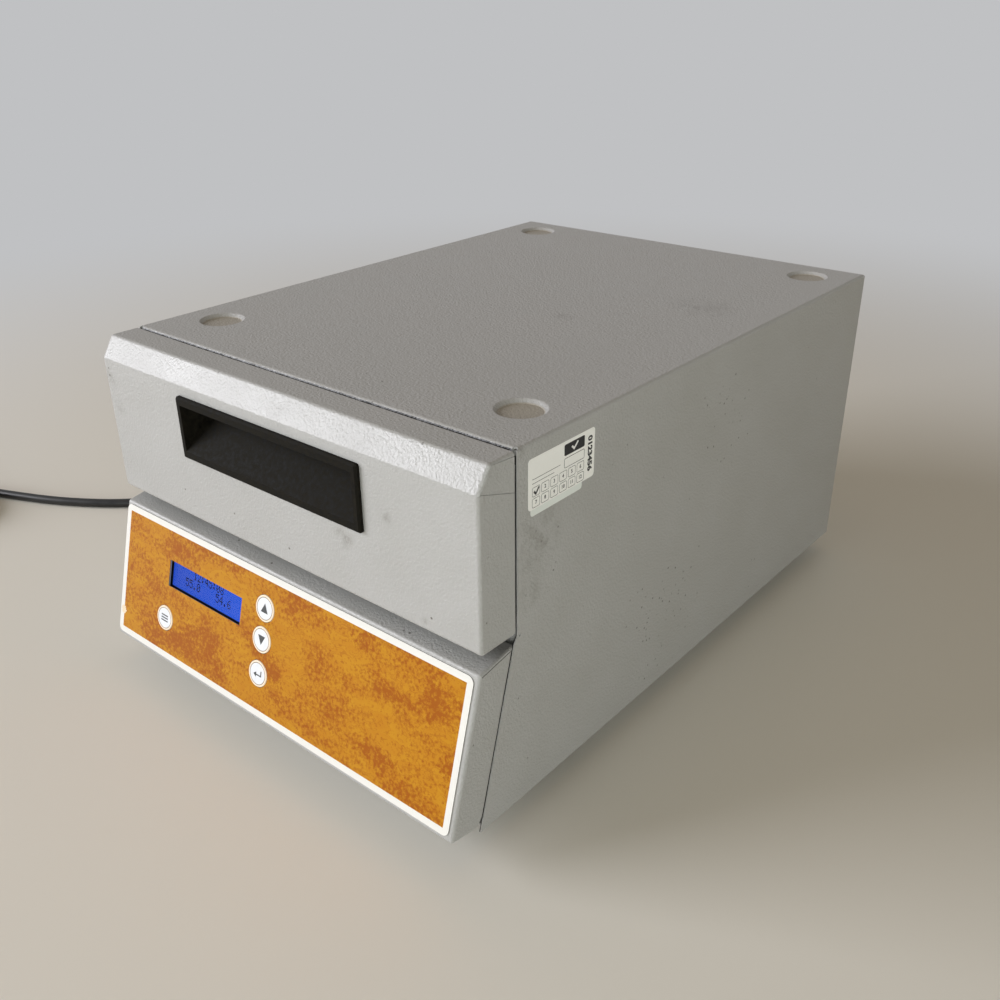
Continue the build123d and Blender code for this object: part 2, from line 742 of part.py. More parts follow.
def door_gasket():
    """Silicone frame seal on the inner panel, just short of the front frame."""
    seal = frame_y - gasket_gap
    w = gasket_width
    ring = round_plate(-gasket_in_x - w, gasket_in_x + w, gasket_in_low - w, gasket_in_top + w,
                       panel_back, seal, gasket_corner + w)
    ring -= round_plate(-gasket_in_x, gasket_in_x, gasket_in_low, gasket_in_top,
                        panel_back - 1, seal + 1, gasket_corner)
    return fillet(edges_at(ring, y=seal), 1.2)


def door_insulation():
    """Board inside the door, cut out round the pull's pocket."""
    y0, y1 = door_front + sheet + fit_gap, panel_front - fit_gap
    wide = plate_foot_in - fit_gap
    board = block(-wide, wide, y0, y1, door_low + sheet + 4, door_top - bevel_drop - 3)
    return board - block(-pull_hole_half - 1, pull_hole_half + 1, y0 - 1, y1 + 1,
                         pull_z - pull_hole_up - 1, pull_z + pull_hole_up + 1)


def door_pull():
    """Moulded flush pull: a proud bezel and a thin-walled pocket with a sloped back."""
    front = door_front - pull_proud
    bezel = round_plate(-pull_width / 2, pull_width / 2, pull_z - pull_height / 2, pull_z + pull_height / 2,
                        front, door_front, pull_corner)
    bezel = chamfer(edges_at(bezel, y=front), 1.1)
    mouth_half = pull_width / 2 - pull_side_bar
    mouth_top = pull_z + pull_height / 2 - pull_top_bar
    mouth_low = pull_z - pull_height / 2 + pull_low_bar
    back = door_front + pull_pocket
    slope = math.radians(pull_slope)
    floor_back = mouth_low + (back - front) * math.tan(slope)
    wall_low = pull_z - pull_hole_up + fit_gap
    wall_top = pull_z + pull_hole_up - fit_gap
    wall_run = pull_wall / math.sin(slope)
    body = [(door_front - 0.2, wall_low), (door_front + sheet + 1, wall_low),
            (back + pull_wall, floor_back - (wall_run - pull_wall) * math.tan(slope)),
            (back + pull_wall, wall_top), (door_front - 0.2, wall_top)]
    body_half = pull_hole_half - fit_gap
    pocket = [(front - 1, mouth_low), (front, mouth_low), (back, floor_back),
              (back, mouth_top), (front - 1, mouth_top)]
    return bezel + across(body, -body_half, body_half) - across(pocket, -mouth_half, mouth_half)


def pivot_plate(side_x):
    """Upright plate inside the door that carries the hinge bush."""
    front = door_front + sheet
    low = door_low + sheet
    outline = [(front, low), (pivot_y + 5, low), (pivot_y + 7, pivot_z), (pivot_y + 5, pivot_z + 7),
               (front + 6, pivot_z + 18), (front, pivot_z + 18)]
    plate = across(outline, side_x * plate_out, side_x * plate_in, [(2, 3), (3, 3)])
    plate += block(side_x * plate_foot_in, side_x * plate_in, front, front + 2, low, pivot_z + 18)
    return plate - rod_x(pin_radius + bush_wall, side_x * (plate_in - 1), side_x * (plate_out + 1),
                         pivot_y, pivot_z)


def hinge_bush(side_x):
    """Flanged nylon bush in the pivot plate."""
    end = plate_in - 0.5
    face = plate_out + bush_flange
    bush = rod_x(pin_radius + bush_wall, side_x * end, side_x * plate_out, pivot_y, pivot_z)
    bush += rod_x(pin_radius + bush_wall + 0.8, side_x * plate_out, side_x * face, pivot_y, pivot_z)
    return bush - rod_x(pin_radius + pin_clearance, side_x * (end - 1), side_x * (face + 1), pivot_y, pivot_z)


def hinge_pin(side_x):
    """Headed pin pressed through the bracket and running in the bush."""
    pin = rod_x(pin_radius, side_x * (plate_in - 1.5), side_x * bracket_out, pivot_y, pivot_z)
    return pin + rod_x(pin_radius + 1.2, side_x * bracket_out, side_x * (bracket_out + 1.5), pivot_y, pivot_z)


def hinge_bracket(side_x):
    """Arm on the front frame that reaches into the door and holds the pin."""
    arm = bracket_arm
    root_low, root_top = pivot_z - arm - 9, pivot_z + arm + 6
    outline = [(frame_y, root_low), (frame_y, root_top), (frame_y - 2.5, pivot_z + arm + 2),
               (pivot_y, pivot_z + arm), (pivot_y - arm, pivot_z + 2), (pivot_y - arm, pivot_z - 2),
               (pivot_y, pivot_z - arm), (frame_y - 4.5, pivot_z - arm), (frame_y - 1.8, pivot_z - arm - 5)]
    bracket = across(outline, side_x * bracket_in, side_x * bracket_out, [(4, 2.5), (5, 2.5)])
    bracket += block(side_x * (bracket_in - 1), side_x * bracket_out,
                     frame_y - 1, frame_y, root_low, root_top)
    return bracket - rod_x(pin_radius, side_x * (bracket_in - 2), side_x * (bracket_out + 1),
                           pivot_y, pivot_z)


def catch_magnets():
    """Two round magnets on the front frame that hold the door shut."""
    return [rod_y(catch_radius, door_back, frame_y, side_x * catch_x, catch_z) for side_x in (-1, 1)]


# ------------------------------------------------------------------ console
def console_outline(inset, rear):
    """Side outline of the console, one inset in from its folded walls, to a depth of rear."""
    ledge_slope = ledge_rise / console_depth
    low_slope = console_low_rake / console_depth
    ledge_inset = inset * math.hypot(1, ledge_slope)
    low_inset = inset * math.hypot(1, low_slope)
    return [panel_yz(ledge_inset - rear * ledge_slope, -rear),
            panel_yz(ledge_inset - inset * ledge_slope, -inset),
            panel_yz(face_length - inset * low_slope - low_inset, -inset),
            panel_yz(face_length - rear * low_slope - low_inset, -rear)]


def console_housing():
    """Tilted pan: ledge, face, lower flange and side ears in one folded sheet."""
    solid = across(console_outline(0, console_depth), -half, half,
                   [(1, console_bend), (2, console_bend), (3, ear_corner)])
    middle = panel_yz(face_length / 2, 0)
    face_sides = [e for e in edges_at(solid, x=half)
                  if math.dist((e.center().Y, e.center().Z), middle) < 1]
    solid = fillet(face_sides, console_bend)
    solid -= across(console_outline(sheet, console_depth + 5), -inner, inner)
    solid -= on_panel(Box(window_width + 1.6, window_height + 1.6, 6), window_x, window_down, 0)
    for x, down in key_spots.values():
        solid -= panel_rod(key_radius + 2 * key_gap, x, down, -3, 3)
    relief = panel_yz(-ledge_rise + 1.2, -console_depth + 2.2)
    for side_x in (-1, 1):
        solid -= rod_x(0.9, side_x * (half - 0.8), side_x * (half + 0.8), *relief)
    return solid


def control_overlay():
    """Printed film on the console's face, open at the window and the keys."""
    sheet_face = RectangleRounded(overlay_left + overlay_right, overlay_height, overlay_corner)
    film = extrude(sheet_face, overlay_thick)
    film = on_panel(film, (overlay_right - overlay_left) / 2, overlay_top + overlay_height / 2, 0)
    film -= on_panel(Box(window_width, window_height, 6), window_x, window_down, 0)
    for x, down in key_spots.values():
        film -= panel_rod(key_radius + key_gap, x, down, -3, 3)
    return film


def key_button(x, down):
    """Round key cap with its stem, which runs in the switch behind it."""
    cap = Cylinder(key_radius, key_under + key_proud)
    cap = fillet(cap.edges().sort_by(Axis.Z)[-1], 0.35)
    cap = on_panel(cap, x, down, (key_proud - key_under) / 2)
    return cap + panel_rod(stem_radius, x, down, switch_front - stem_depth, -key_under)


def key_switches():
    """Square switch bodies on the control board, one under each key."""
    bodies = []
    size = switch_size / 2
    for x, down in key_spots.values():
        body = panel_block(x - size, x + size, down - size, down + size, -board_drop, switch_front)
        well = panel_rod(stem_radius + stem_gap, x, down, switch_front - stem_depth - key_travel - 0.3, 0)
        bodies.append(body - well)
    return bodies


def control_board():
    """Circuit board across the console, with its larger parts on the rear."""
    board = panel_block(board_left, board_right, board_top, board_low, board_rear, -board_drop)
    for part_in, down, wide, high, tall in board_parts:
        x = board_left + part_in
        board += panel_block(x, x + wide, board_top + down, board_top + down + high,
                             board_rear - tall, board_rear)
    board += panel_block(ribbon_x - ribbon_half - socket_lip, ribbon_x + ribbon_half + socket_lip,
                         ribbon_down - socket_high / 2, ribbon_down + socket_high / 2,
                         board_rear - socket_tall, board_rear)
    board += panel_rod(buzzer_radius, board_left + buzzer_in, board_top + buzzer_down,
                       board_rear - buzzer_tall, board_rear)
    for x, down in board_spacer_spots:
        board -= panel_rod(spacer_bore, x, down, board_rear - 1, -board_drop + 1)
    return board


def board_spacers():
    """Spacers behind the console's face, and under the supply board."""
    front = [panel_rod(spacer_radius, x, down, -board_drop, -sheet) for x, down in board_spacer_spots]
    return front + [rod_z(spacer_radius, base_top, supply_low, x, y) for x, y in supply_spacer_spots]


def display_window():
    """Clear pane behind the window opening."""
    wide, high = window_width / 2 + lens_lap, window_height / 2 + lens_lap
    return panel_block(window_x - wide, window_x + wide, window_down - high, window_down + high,
                       lens_rear, lens_front)


def display_module():
    """Two-line character display: metal frame on its own board."""
    back = -board_drop + board_thick
    wide, high = window_width / 2 + lens_lap, window_height / 2 + lens_lap
    frame = panel_block(window_x - wide, window_x + wide, window_down - high, window_down + high,
                        back, lens_rear - 0.1)
    wide, high = wide + module_lap, high + module_lap
    return frame + panel_block(window_x - wide, window_x + wide, window_down - high, window_down + high,
                               -board_drop, back)


def console_brackets():
    """Angles between the front frame and the inside of the console's ears."""
    lap = 8.0
    low, high = panel_yz(62, lap - console_depth), panel_yz(20, lap - console_depth)
    brackets = []
    for side_x in (-1, 1):
        leg = across([(frame_y, low[1]), low, high, (frame_y, high[1])],
                     side_x * inner, side_x * (inner - sheet))
        foot = block(side_x * inner, side_x * (inner - 14), frame_y - sheet, frame_y, low[1], high[1])
        brackets.append(leg + foot)
    return brackets


# ------------------------------------------------------------------ electronics
def power_supply():
    """Open-frame supply board with its transformer, heat sinks and capacitors."""
    x, y, top = supply_x, supply_y, supply_top
    board = block(x - supply_width / 2, x + supply_width / 2,
                  y - supply_length / 2, y + supply_length / 2, supply_low, top)
    for at_x, at_y, wide, deep, tall in supply_blocks:
        board += block(x + at_x, x + at_x + wide, y + at_y, y + at_y + deep, top, top + tall)
    for at_x, at_y, radius, tall in supply_cans:
        board += rod_z(radius, top, top + tall, x + at_x, y + at_y)
    board += block(ribbon_x - ribbon_half - socket_lip, ribbon_x + ribbon_half + socket_lip,
                   ribbon_end_y, ribbon_end_y + socket_high, top, top + supply_socket_tall)
    for spot_x, spot_y in supply_spacer_spots:
        board -= rod_z(spacer_bore, supply_low - 1, top + 1, spot_x, spot_y)
    return board


def display_ribbon():
    """Flat cable from the control board, through the frame, to the supply board."""
    start = panel_yz(ribbon_down, board_rear - socket_tall)
    square = panel_yz(ribbon_down, board_rear - socket_tall - ribbon_square)
    end_z = supply_top + supply_socket_tall / 2
    line = FilletPolyline(start, square, (frame_back + ribbon_past, ribbon_hole_z),
                          (ribbon_land_y, end_z + 5 * ribbon_thick),
                          (ribbon_end_y - ribbon_run_in, end_z), (ribbon_end_y, end_z), radius=ribbon_bend)
    strip = extrude(Plane.YZ * trace(line, ribbon_thick), ribbon_width)
    return Pos(ribbon_x - ribbon_half, 0, 0) * strip


def heater_relay():
    """Solid state relay on the base pan, with its four screw terminals."""
    x, y, top = relay_x, relay_y, base_top + relay_height
    wide, long = relay_width / 2, relay_length / 2
    relay = block(x - wide, x + wide, y - long, y + long, base_top, top)
    for side_y in (-1, 1):
        relay -= block(x - wide + relay_wall, x + wide - relay_wall, y + side_y * (long - relay_step),
                       y + side_y * (long + 1), top - relay_drop, top + 1)
        for side_x in (-1, 1):
            relay += rod_z(terminal_radius, top - relay_drop, top - relay_drop + terminal_height,
                           x + side_x * terminal_x, y + side_y * (long - terminal_in))
    return relay


# ------------------------------------------------------------------ mains parts
def mains_inlet():
    """Appliance inlet with three pins and a place for the fuse drawer above."""
    wide, high = inlet_width / 2, inlet_height / 2
    body = block(inlet_x - wide, inlet_x + wide, rear_out - inlet_reach, rear_out,
                 mains_z - high, mains_z + high)
    body += round_plate(inlet_x - wide - inlet_lip, inlet_x + wide + inlet_lip,
                        mains_z - high - inlet_lip, mains_z + high + inlet_lip, rear_out, inlet_face, 3)
    socket = round_plate(inlet_x - socket_width / 2, inlet_x + socket_width / 2,
                         connector_z - socket_height / 2, connector_z + socket_height / 2,
                         inlet_face - socket_depth, inlet_face + 1, 2)
    fuse_z = mains_z + fuse_rise
    body -= socket
    body -= block(inlet_x - fuse_width / 2 - fit_gap, inlet_x + fuse_width / 2 + fit_gap,
                  inlet_face - fuse_depth, inlet_face + 1,
                  fuse_z - fuse_height / 2 - fit_gap, fuse_z + fuse_height / 2 + fit_gap)
    for x, z in inlet_pin_spots:
        body += block(x - 1, x + 1, inlet_face - socket_depth - 1, inlet_face - 3, z - 2, z + 2)
    return body


def fuse_drawer():
    """Fuse drawer pushed into the inlet, with its finger notch."""
    z = mains_z + fuse_rise
    drawer = block(inlet_x - fuse_width / 2, inlet_x + fuse_width / 2, inlet_face - fuse_depth,
                   inlet_face + 0.8, z - fuse_height / 2, z + fuse_height / 2)
    return drawer - block(inlet_x - 4, inlet_x + 4, inlet_face - 1.6, inlet_face + 2,
                          z - fuse_height / 2 - 1, z - fuse_height / 2 + 3)


def power_switch_housing():
    """Rocker switch body with the sockets for the rocker's stubs."""
    wide, high = rocker_body_width / 2, rocker_body_height / 2
    body = round_plate(switch_x - wide - rocker_lip, switch_x + wide + rocker_lip,
                       mains_z - high - rocker_lip, mains_z + high + rocker_lip,
                       rear_out, rear_out + rocker_frame, 2)
    body += block(switch_x - wide, switch_x + wide, rear_out - rocker_body_reach, rear_out,
                  mains_z - high, mains_z + high)
    well = rocker_half_width + rocker_gap
    body -= rod_x(rocker_radius + rocker_gap, switch_x - well, switch_x + well, rear_out, mains_z)
    reach = well + stub_length
    return body - rod_x(rocker_stub + stub_gap, switch_x - reach, switch_x + reach, rear_out, mains_z)


def power_rocker():
    """Rocker pressed at its upper end, as when the oven is on."""
    wide = rocker_half_width
    shell = rod_x(rocker_radius, switch_x - wide, switch_x + wide, rear_out, mains_z)
    crest = rear_out + rocker_frame + 3.2
    beyond = rear_out + 2 * rocker_radius
    above, below = mains_z + rocker_radius + 1, mains_z - rocker_radius - 1
    cut = [(crest - 2.2, mains_z), (crest, above), (beyond, above), (beyond, below), (crest, below)]
    shell -= across(cut, switch_x - wide - 1, switch_x + wide + 1)
    reach = wide + stub_length
    shell += rod_x(rocker_stub, switch_x - reach, switch_x + reach, rear_out, mains_z)
    return Pos(0, rear_out, mains_z) * Rot(rocker_lean, 0, 0) * Pos(0, -rear_out, -mains_z) * shell


# ------------------------------------------------------------------ feet
def rubber_foot(x, y):
    """Tapered rubber foot with a recess for its screw."""
    foot = Cone(foot_radius - foot_taper, foot_radius, foot_height)
    foot = fillet(foot.edges().filter_by(GeomType.CIRCLE).sort_by(Axis.Z)[0], 1.0)
    foot = Pos(x, y, foot_height / 2) * foot
    foot -= rod_z(foot_head_radius + 0.5, -1, foot_head_depth, x, y)
    return foot - rod_z(foot_screw_radius, 0, foot_height + 1, x, y)


def foot_screws():
    """Machine screws up through the feet and the base pan, each with its nut."""
    pieces = []
    for x, y in seat_spots:
        screw = rod_z(foot_head_radius, foot_head_depth - foot_head_height, foot_head_depth, x, y)
        pieces.append(screw + rod_z(foot_screw_radius, foot_head_depth, base_top + 6, x, y))
        nut = Pos(x, y, base_top) * extrude(RegularPolygon(4.0, 6), 3.2)
        pieces.append(nut - rod_z(foot_screw_radius, base_top - 1, base_top + 5, x, y))
    return pieces


# ------------------------------------------------------------------ mains lead
def tube_path(points):
    """Straight runs joined by arcs, each arc as large as its two runs allow."""
    vectors = [Vector(*p) for p in points]
    radii = []
    for a, b, c in zip(vectors, vectors[1:], vectors[2:]):
        turn = math.radians((b - a).get_angle(c - b))
        shorter = min((b - a).length, (c - b).length)
        radii.append(0.45 * shorter / math.tan(turn / 2))
    return FilletPolyline(*points, radius=radii), radii


def lead_tube(path):
    section = Plane(origin=path @ 0, z_dir=path % 0) * Circle(lead_radius)
    return sweep(section, path=path)


def strain_relief(start, direction, wide):
    """Tapered sleeve round the lead, with grooves that let it bend."""
    base = Plane(origin=start, z_dir=direction)
    sleeve = base * Pos(0, 0, relief_length / 2) * Cone(wide, lead_radius + 1.0, relief_length)
    for index in range(4):
        at = relief_length * (0.22 + 0.2 * index)
        sleeve -= base * Pos(0, 0, at) * (Cylinder(wide + 2, 1.6) - Cylinder(lead_radius + 0.5, 1.6))
    return sleeve


def inlet_connector():
    """Appliance connector: nose in the inlet, moulded body and strain relief behind it."""
    gap = 0.4
    nose = round_plate(inlet_x - socket_width / 2 + gap, inlet_x + socket_width / 2 - gap,
                       connector_z - socket_height / 2 + gap, connector_z + socket_height / 2 - gap,
                       inlet_face - socket_depth + gap, inlet_face + 1, 1.6)
    for x, z in inlet_pin_spots:
        nose -= block(x - 1 - gap, x + 1 + gap, inlet_face - socket_depth, inlet_face - 3 + gap,
                      z - 2 - gap, z + 2 + gap)
    sections = [(0, connector_width, connector_height, 3),
                (0.6, connector_width - 2, connector_height - 2, 4),
                (1, connector_width - 11, connector_height - 6, 5)]
    faces = []
    for share, wide, high, corner in sections:
        y = inlet_face + gap + share * (connector_length - gap)
        plane = Plane(origin=(inlet_x, y, connector_z), x_dir=(1, 0, 0), z_dir=(0, 1, 0))
        faces.append(plane * RectangleRounded(wide, high, corner))
    body = loft(faces, ruled=True)
    relief_at = (inlet_x, inlet_face + connector_length, connector_z)
    return nose + body + strain_relief(relief_at, (0, 1, 0), lead_radius + 2.6)


def half_turn(place, heading, radius, rise=0.0):
    """Two arcs that turn the lead left by half a turn and lift it by rise."""
    left = Vector(0, 0, 1).cross(heading)
    end = place + left * (2 * radius) + Vector(0, 0, rise)
    reach = math.sqrt(radius ** 2 + rise ** 2 / 4)
    middle = (place + end) * 0.5 + heading * reach
    first = TangentArc(place, middle, tangent=heading)
    second = TangentArc(middle, end, tangent=first % 1)
    return [first, second], end, heading * -1


def coil_path(start, heading):
    """A flat layer that winds in, the climb where it reverses, and a layer that winds out."""
    straight = 2 * lead_radius
    place = start + heading * straight
    edges = [Line(start, place)]
    turns = [(coil_inner_radius + coil_pitch / 2 * step, 0.0) for step in range(coil_half_turns_in, 0, -1)]
    turns.append((coil_inner_radius, coil_pitch))
    turns += [(coil_inner_radius + coil_pitch / 2 * step, 0.0) for step in range(1, coil_half_turns_out + 1)]
    for radius, rise in turns:
        arcs, place, heading = half_turn(place, heading, radius, rise)
        edges += arcs
    edges.append(Line(place, place + heading * straight))
    return edges, place + heading * straight, heading


def least_gap(edges):
    """Least distance between the coil's neighbouring turns, surface to surface."""
    steps = 24
    points = [tuple(edge @ (k / steps)) for edge in edges for k in range(steps)]
    apart = 3 * steps              # at least three quarters of a turn along the lead
    least = min(math.dist(a, b) for i, a in enumerate(points) for b in points[i + apart:])
    return least - 2 * lead_radius


def power_plug(start, heading):
    """Moulded three-pin plug with its strain relief, lying on its side."""
    relief = strain_relief(start + heading * relief_length, heading * -1, lead_radius + 2.6)
    high = 2 * plug_axis
    base = Plane(origin=start + heading * relief_length, x_dir=Vector(0, 0, 1).cross(heading), z_dir=heading)
    faces = [base * Pos(0, 0, at) * RectangleRounded(wide, tall, corner)
             for at, wide, tall, corner in ((0, 15, 15, 5), (plug_length * 0.35, plug_width, high, 6),
                                            (plug_length, plug_width, high, 6))]
    body = loft(faces, ruled=True)
    tip = plug_length
    for side in (-1, 1):
        body += base * Pos(side * 6.35, 3, tip + 8.5) * Box(1.5, 6.4, 17)
    ground = base * Pos(0, -6.5, tip + 10) * Cylinder(2.4, 20)
    return body + ground + relief


# ------------------------------------------------------------------ assembly
parts = {
    "cover": cover(),
    "base_pan": base_pan(),
    "front_frame": front_frame(),
    "rear_panel": rear_panel(),
    "rear_screws": rear_screws(),
    "deck_plate": deck_plate(),
    "chamber_liner": chamber_liner(),
    "heater_mat_bottom": heater_mat(liner_low - heater_thick),
    "heater_mat_top": heater_mat(liner_top),
    "temperature_probe": temperature_probe(),
    "safety_thermostat": safety_thermostat(),
    "tray_guide_left": tray_guide(-1),
    "tray_guide_right": tray_guide(1),
    "door_skin": door_skin(),
    "door_inner_panel": door_inner_panel(),
    "door_screws": door_screws(),
    "door_gasket": door_gasket(),
    "door_insulation": door_insulation(),
    "door_pull": door_pull(),
    "pivot_plate_left": pivot_plate(-1),
    "pivot_plate_right": pivot_plate(1),
    "hinge_bushes": [hinge_bush(-1), hinge_bush(1)],
    "hinge_pins": [hinge_pin(-1), hinge_pin(1)],
    "hinge_bracket_left": hinge_bracket(-1),
    "hinge_bracket_right": hinge_bracket(1),
    "catch_magnets": catch_magnets(),
    "console_housing": console_housing(),
    "console_brackets": console_brackets(),
    "control_overlay": control_overlay(),
    "key_switches": key_switches(),
    "control_board": control_board(),
    "board_spacers": board_spacers(),
    "display_window": display_window(),
    "display_module": display_module(),
    "display_ribbon": display_ribbon(),
    "power_supply": power_supply(),
    "heater_relay": heater_relay(),
    "mains_inlet": mains_inlet(),
    "fuse_drawer": fuse_drawer(),
    "power_switch_housing": power_switch_housing(),
    "power_rocker": power_rocker(),
    "foot_screws": foot_screws(),
}
parts.update(insulation_blocks())
for name, (key_x, key_down) in key_spots.items():
    parts[name] = key_button(key_x, key_down)
foot_names = ["foot_front_left", "foot_front_right", "foot_rear_left", "foot_rear_right"]
for name, (foot_x, foot_y) in zip(foot_names, seat_spots):
    parts[name] = rubber_foot(foot_x, foot_y)


def as_one(piece):
    return Compound(children=piece) if isinstance(piece, list) else piece


# the origin lies under the middle of the oven without its lead
boxes = [as_one(piece).bounding_box() for piece in parts.values()]
middle_y = (min(box.min.Y for box in boxes) + max(box.max.Y for box in boxes)) / 2

lead_line, lead_radii = tube_path(lead_route)
coil_heading = (Vector(*lead_route[-1]) - Vector(*lead_route[-2])).normalized()
coil_edges, coil_end, tail_heading = coil_path(Vector(*lead_route[-1]), coil_heading)
tail_left = Vector(0, 0, 1).cross(tail_heading)
tail_route = [coil_end, coil_end + tail_heading * 24, coil_end + tail_heading * 48 + tail_left * 5]
tail_line, tail_radii = tube_path([tuple(p) for p in tail_route])
coil_wire = Wire(coil_edges)
parts["inlet_connector"] = inlet_connector()
parts["power_cord"] = lead_tube(lead_line)
parts["power_cord_coil"] = lead_tube(coil_wire)
parts["power_cord_tail"] = lead_tube(tail_line)
parts["power_plug"] = power_plug(tail_line @ 1, tail_line % 1)

print("lead radii", [round(r) for r in lead_radii + tail_radii])
for name, line in (("power_cord", lead_line), ("power_cord_coil", coil_wire), ("power_cord_tail", tail_line)):
    expected = math.pi * lead_radius ** 2 * line.length
    print(name, "length", round(line.length, 1), "volume ratio", round(parts[name].volume / expected, 5))
print("lead length", round(lead_line.length + coil_wire.length + tail_line.length, 1))
print("coil gap", round(least_gap(coil_edges), 3))
print("origin offset", round(middle_y, 3))

for name, piece in parts.items():
    export_step(Pos(0, -middle_y, 0) * as_one(piece), f"parts/{name}.step")
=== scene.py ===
import bmesh
import bpy
import math
from mathutils import Euler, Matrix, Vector


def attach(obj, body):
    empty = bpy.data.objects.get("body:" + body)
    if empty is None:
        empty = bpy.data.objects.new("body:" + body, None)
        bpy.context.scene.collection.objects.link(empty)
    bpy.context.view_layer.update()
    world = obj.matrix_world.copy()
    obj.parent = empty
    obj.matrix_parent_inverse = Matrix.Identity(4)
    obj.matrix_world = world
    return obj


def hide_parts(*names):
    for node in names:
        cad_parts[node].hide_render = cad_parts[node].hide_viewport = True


# Slide hybridization oven on a bench. The oven's lengths are in millimetres, measured as in the part's
# source: x from the middle, y from the cover's front edge, z from the table. Heights over a face go
# outwards. The camera, the floor and the lights are in metres, in the shared frame.

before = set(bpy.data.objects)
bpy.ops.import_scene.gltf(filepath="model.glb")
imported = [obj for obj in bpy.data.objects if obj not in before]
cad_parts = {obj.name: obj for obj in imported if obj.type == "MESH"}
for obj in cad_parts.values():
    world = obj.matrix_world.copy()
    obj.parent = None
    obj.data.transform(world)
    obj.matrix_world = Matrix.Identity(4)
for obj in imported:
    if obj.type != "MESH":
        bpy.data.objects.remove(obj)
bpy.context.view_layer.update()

MM = 0.001                                  # in metres
COVER_FRONT = -173.004                      # the cover's front edge in the shared frame
CASE_HALF = 152.5
CASE_TOP = 224.0
CASE_DEPTH = 394.0
SEAT_DEPTH = 2.2                            # of the four round seats in the top

PANEL_TILT = math.radians(15.4)
PANEL_Y, PANEL_Z = -28.6, 113.7             # the console's top front corner
LEDGE_SLOPE = math.radians(9.8)
FILM_LEFT, FILM_RIGHT = -151.1, 149.4
FILM_TOP, FILM_LOW = 1.8, 91.0              # down the panel
FILM_OUT = 0.5                              # height of the printed film's face
FILM_BORDER = 4.0
WINDOW_X, WINDOW_DOWN = -64.6, 33.3         # middle of the display's window
WINDOW_WIDTH, WINDOW_HEIGHT = 72.4, 17.4
KEY_OUT = 0.8                               # height of a key's flat top
KEYS = {"key_up": (-7.2, 23.3), "key_down": (-7.2, 42.9), "key_enter": (-7.2, 64.5),
        "key_mode": (-101.6, 64.5)}


def place(x, y, z):
    """A point of the oven in the shared frame, in metres."""
    return Vector((x, y + COVER_FRONT, z)) * MM


def on_panel(x, down, out):
    """A point over the control panel."""
    return place(x, PANEL_Y - down * math.sin(PANEL_TILT) - out * math.cos(PANEL_TILT),
                 PANEL_Z - down * math.cos(PANEL_TILT) + out * math.sin(PANEL_TILT))


def on_side(along, down, out):
    """A point over the cover's right side."""
    return place(CASE_HALF + out, along, CASE_TOP - down)


def put_in(name, data):
    """A new object of this data in the scene."""
    thing = bpy.data.objects.new(name, data)
    bpy.context.scene.collection.objects.link(thing)
    return thing


# ---------------------------------------- camera
# At the photograph's viewing angle.
camera = put_in("camera", bpy.data.cameras.new("camera"))
camera.data.sensor_width = 36.0
camera.data.lens = 37.037
camera.location = (0.42251, -0.504064, 0.41404)
camera.rotation_euler = Euler([math.radians(a) for a in (63.2188, 0.5905, 39.9868)], "XYZ")
bpy.context.scene.camera = camera
bpy.context.scene.view_settings.view_transform = "Standard"


# ---------------------------------------- making materials
def linear(code):
    """An sRGB hex colour as linear red, green, blue and an alpha of 1."""
    channels = [int(code[at:at + 2], 16) / 255 for at in (1, 3, 5)]
    return [c / 12.92 if c <= 0.04045 else ((c + 0.055) / 1.055) ** 2.4 for c in channels] + [1.0]


def add(tree, kind, inputs=None, **settings):
    """Adds a node. Settings are its properties; inputs are its sockets' values or the sockets that feed
    them."""
    node = tree.nodes.new(kind)
    for name, value in settings.items():
        setattr(node, name, value)
    for name, value in (inputs or {}).items():
        if isinstance(value, bpy.types.NodeSocket):
            tree.links.new(value, node.inputs[name])
        else:
            node.inputs[name].default_value = value
    return node


SHARE, FIRST, SECOND, MIXED = 0, 6, 7, 2     # the sockets of a Mix node that mixes colours


def new_finish(name, roughness=0.5, metallic=0.0):
    """An empty material, as (material, node tree, shader, spot), the last for patterns to read."""
    material = bpy.data.materials.new(name)
    material.use_nodes = True
    shader = material.node_tree.nodes["Principled BSDF"]
    shader.inputs["Roughness"].default_value = roughness
    shader.inputs["Metallic"].default_value = metallic
    spot = add(material.node_tree, "ShaderNodeTexCoord").outputs["Object"]
    return material, material.node_tree, shader, spot


def feed(shader, sources):
    """Links inputs of the shader to the sockets that feed them."""
    for name, socket in sources.items():
        shader.id_data.links.new(socket, shader.inputs[name])


def per_mm(size):
    """The scale of a pattern whose features are this many millimetres across."""
    return 1 / (size * MM)


def banded(spacing):
    """The scale of a wave pattern whose bands are this many millimetres apart."""
    return 0.31416 / (spacing * MM)


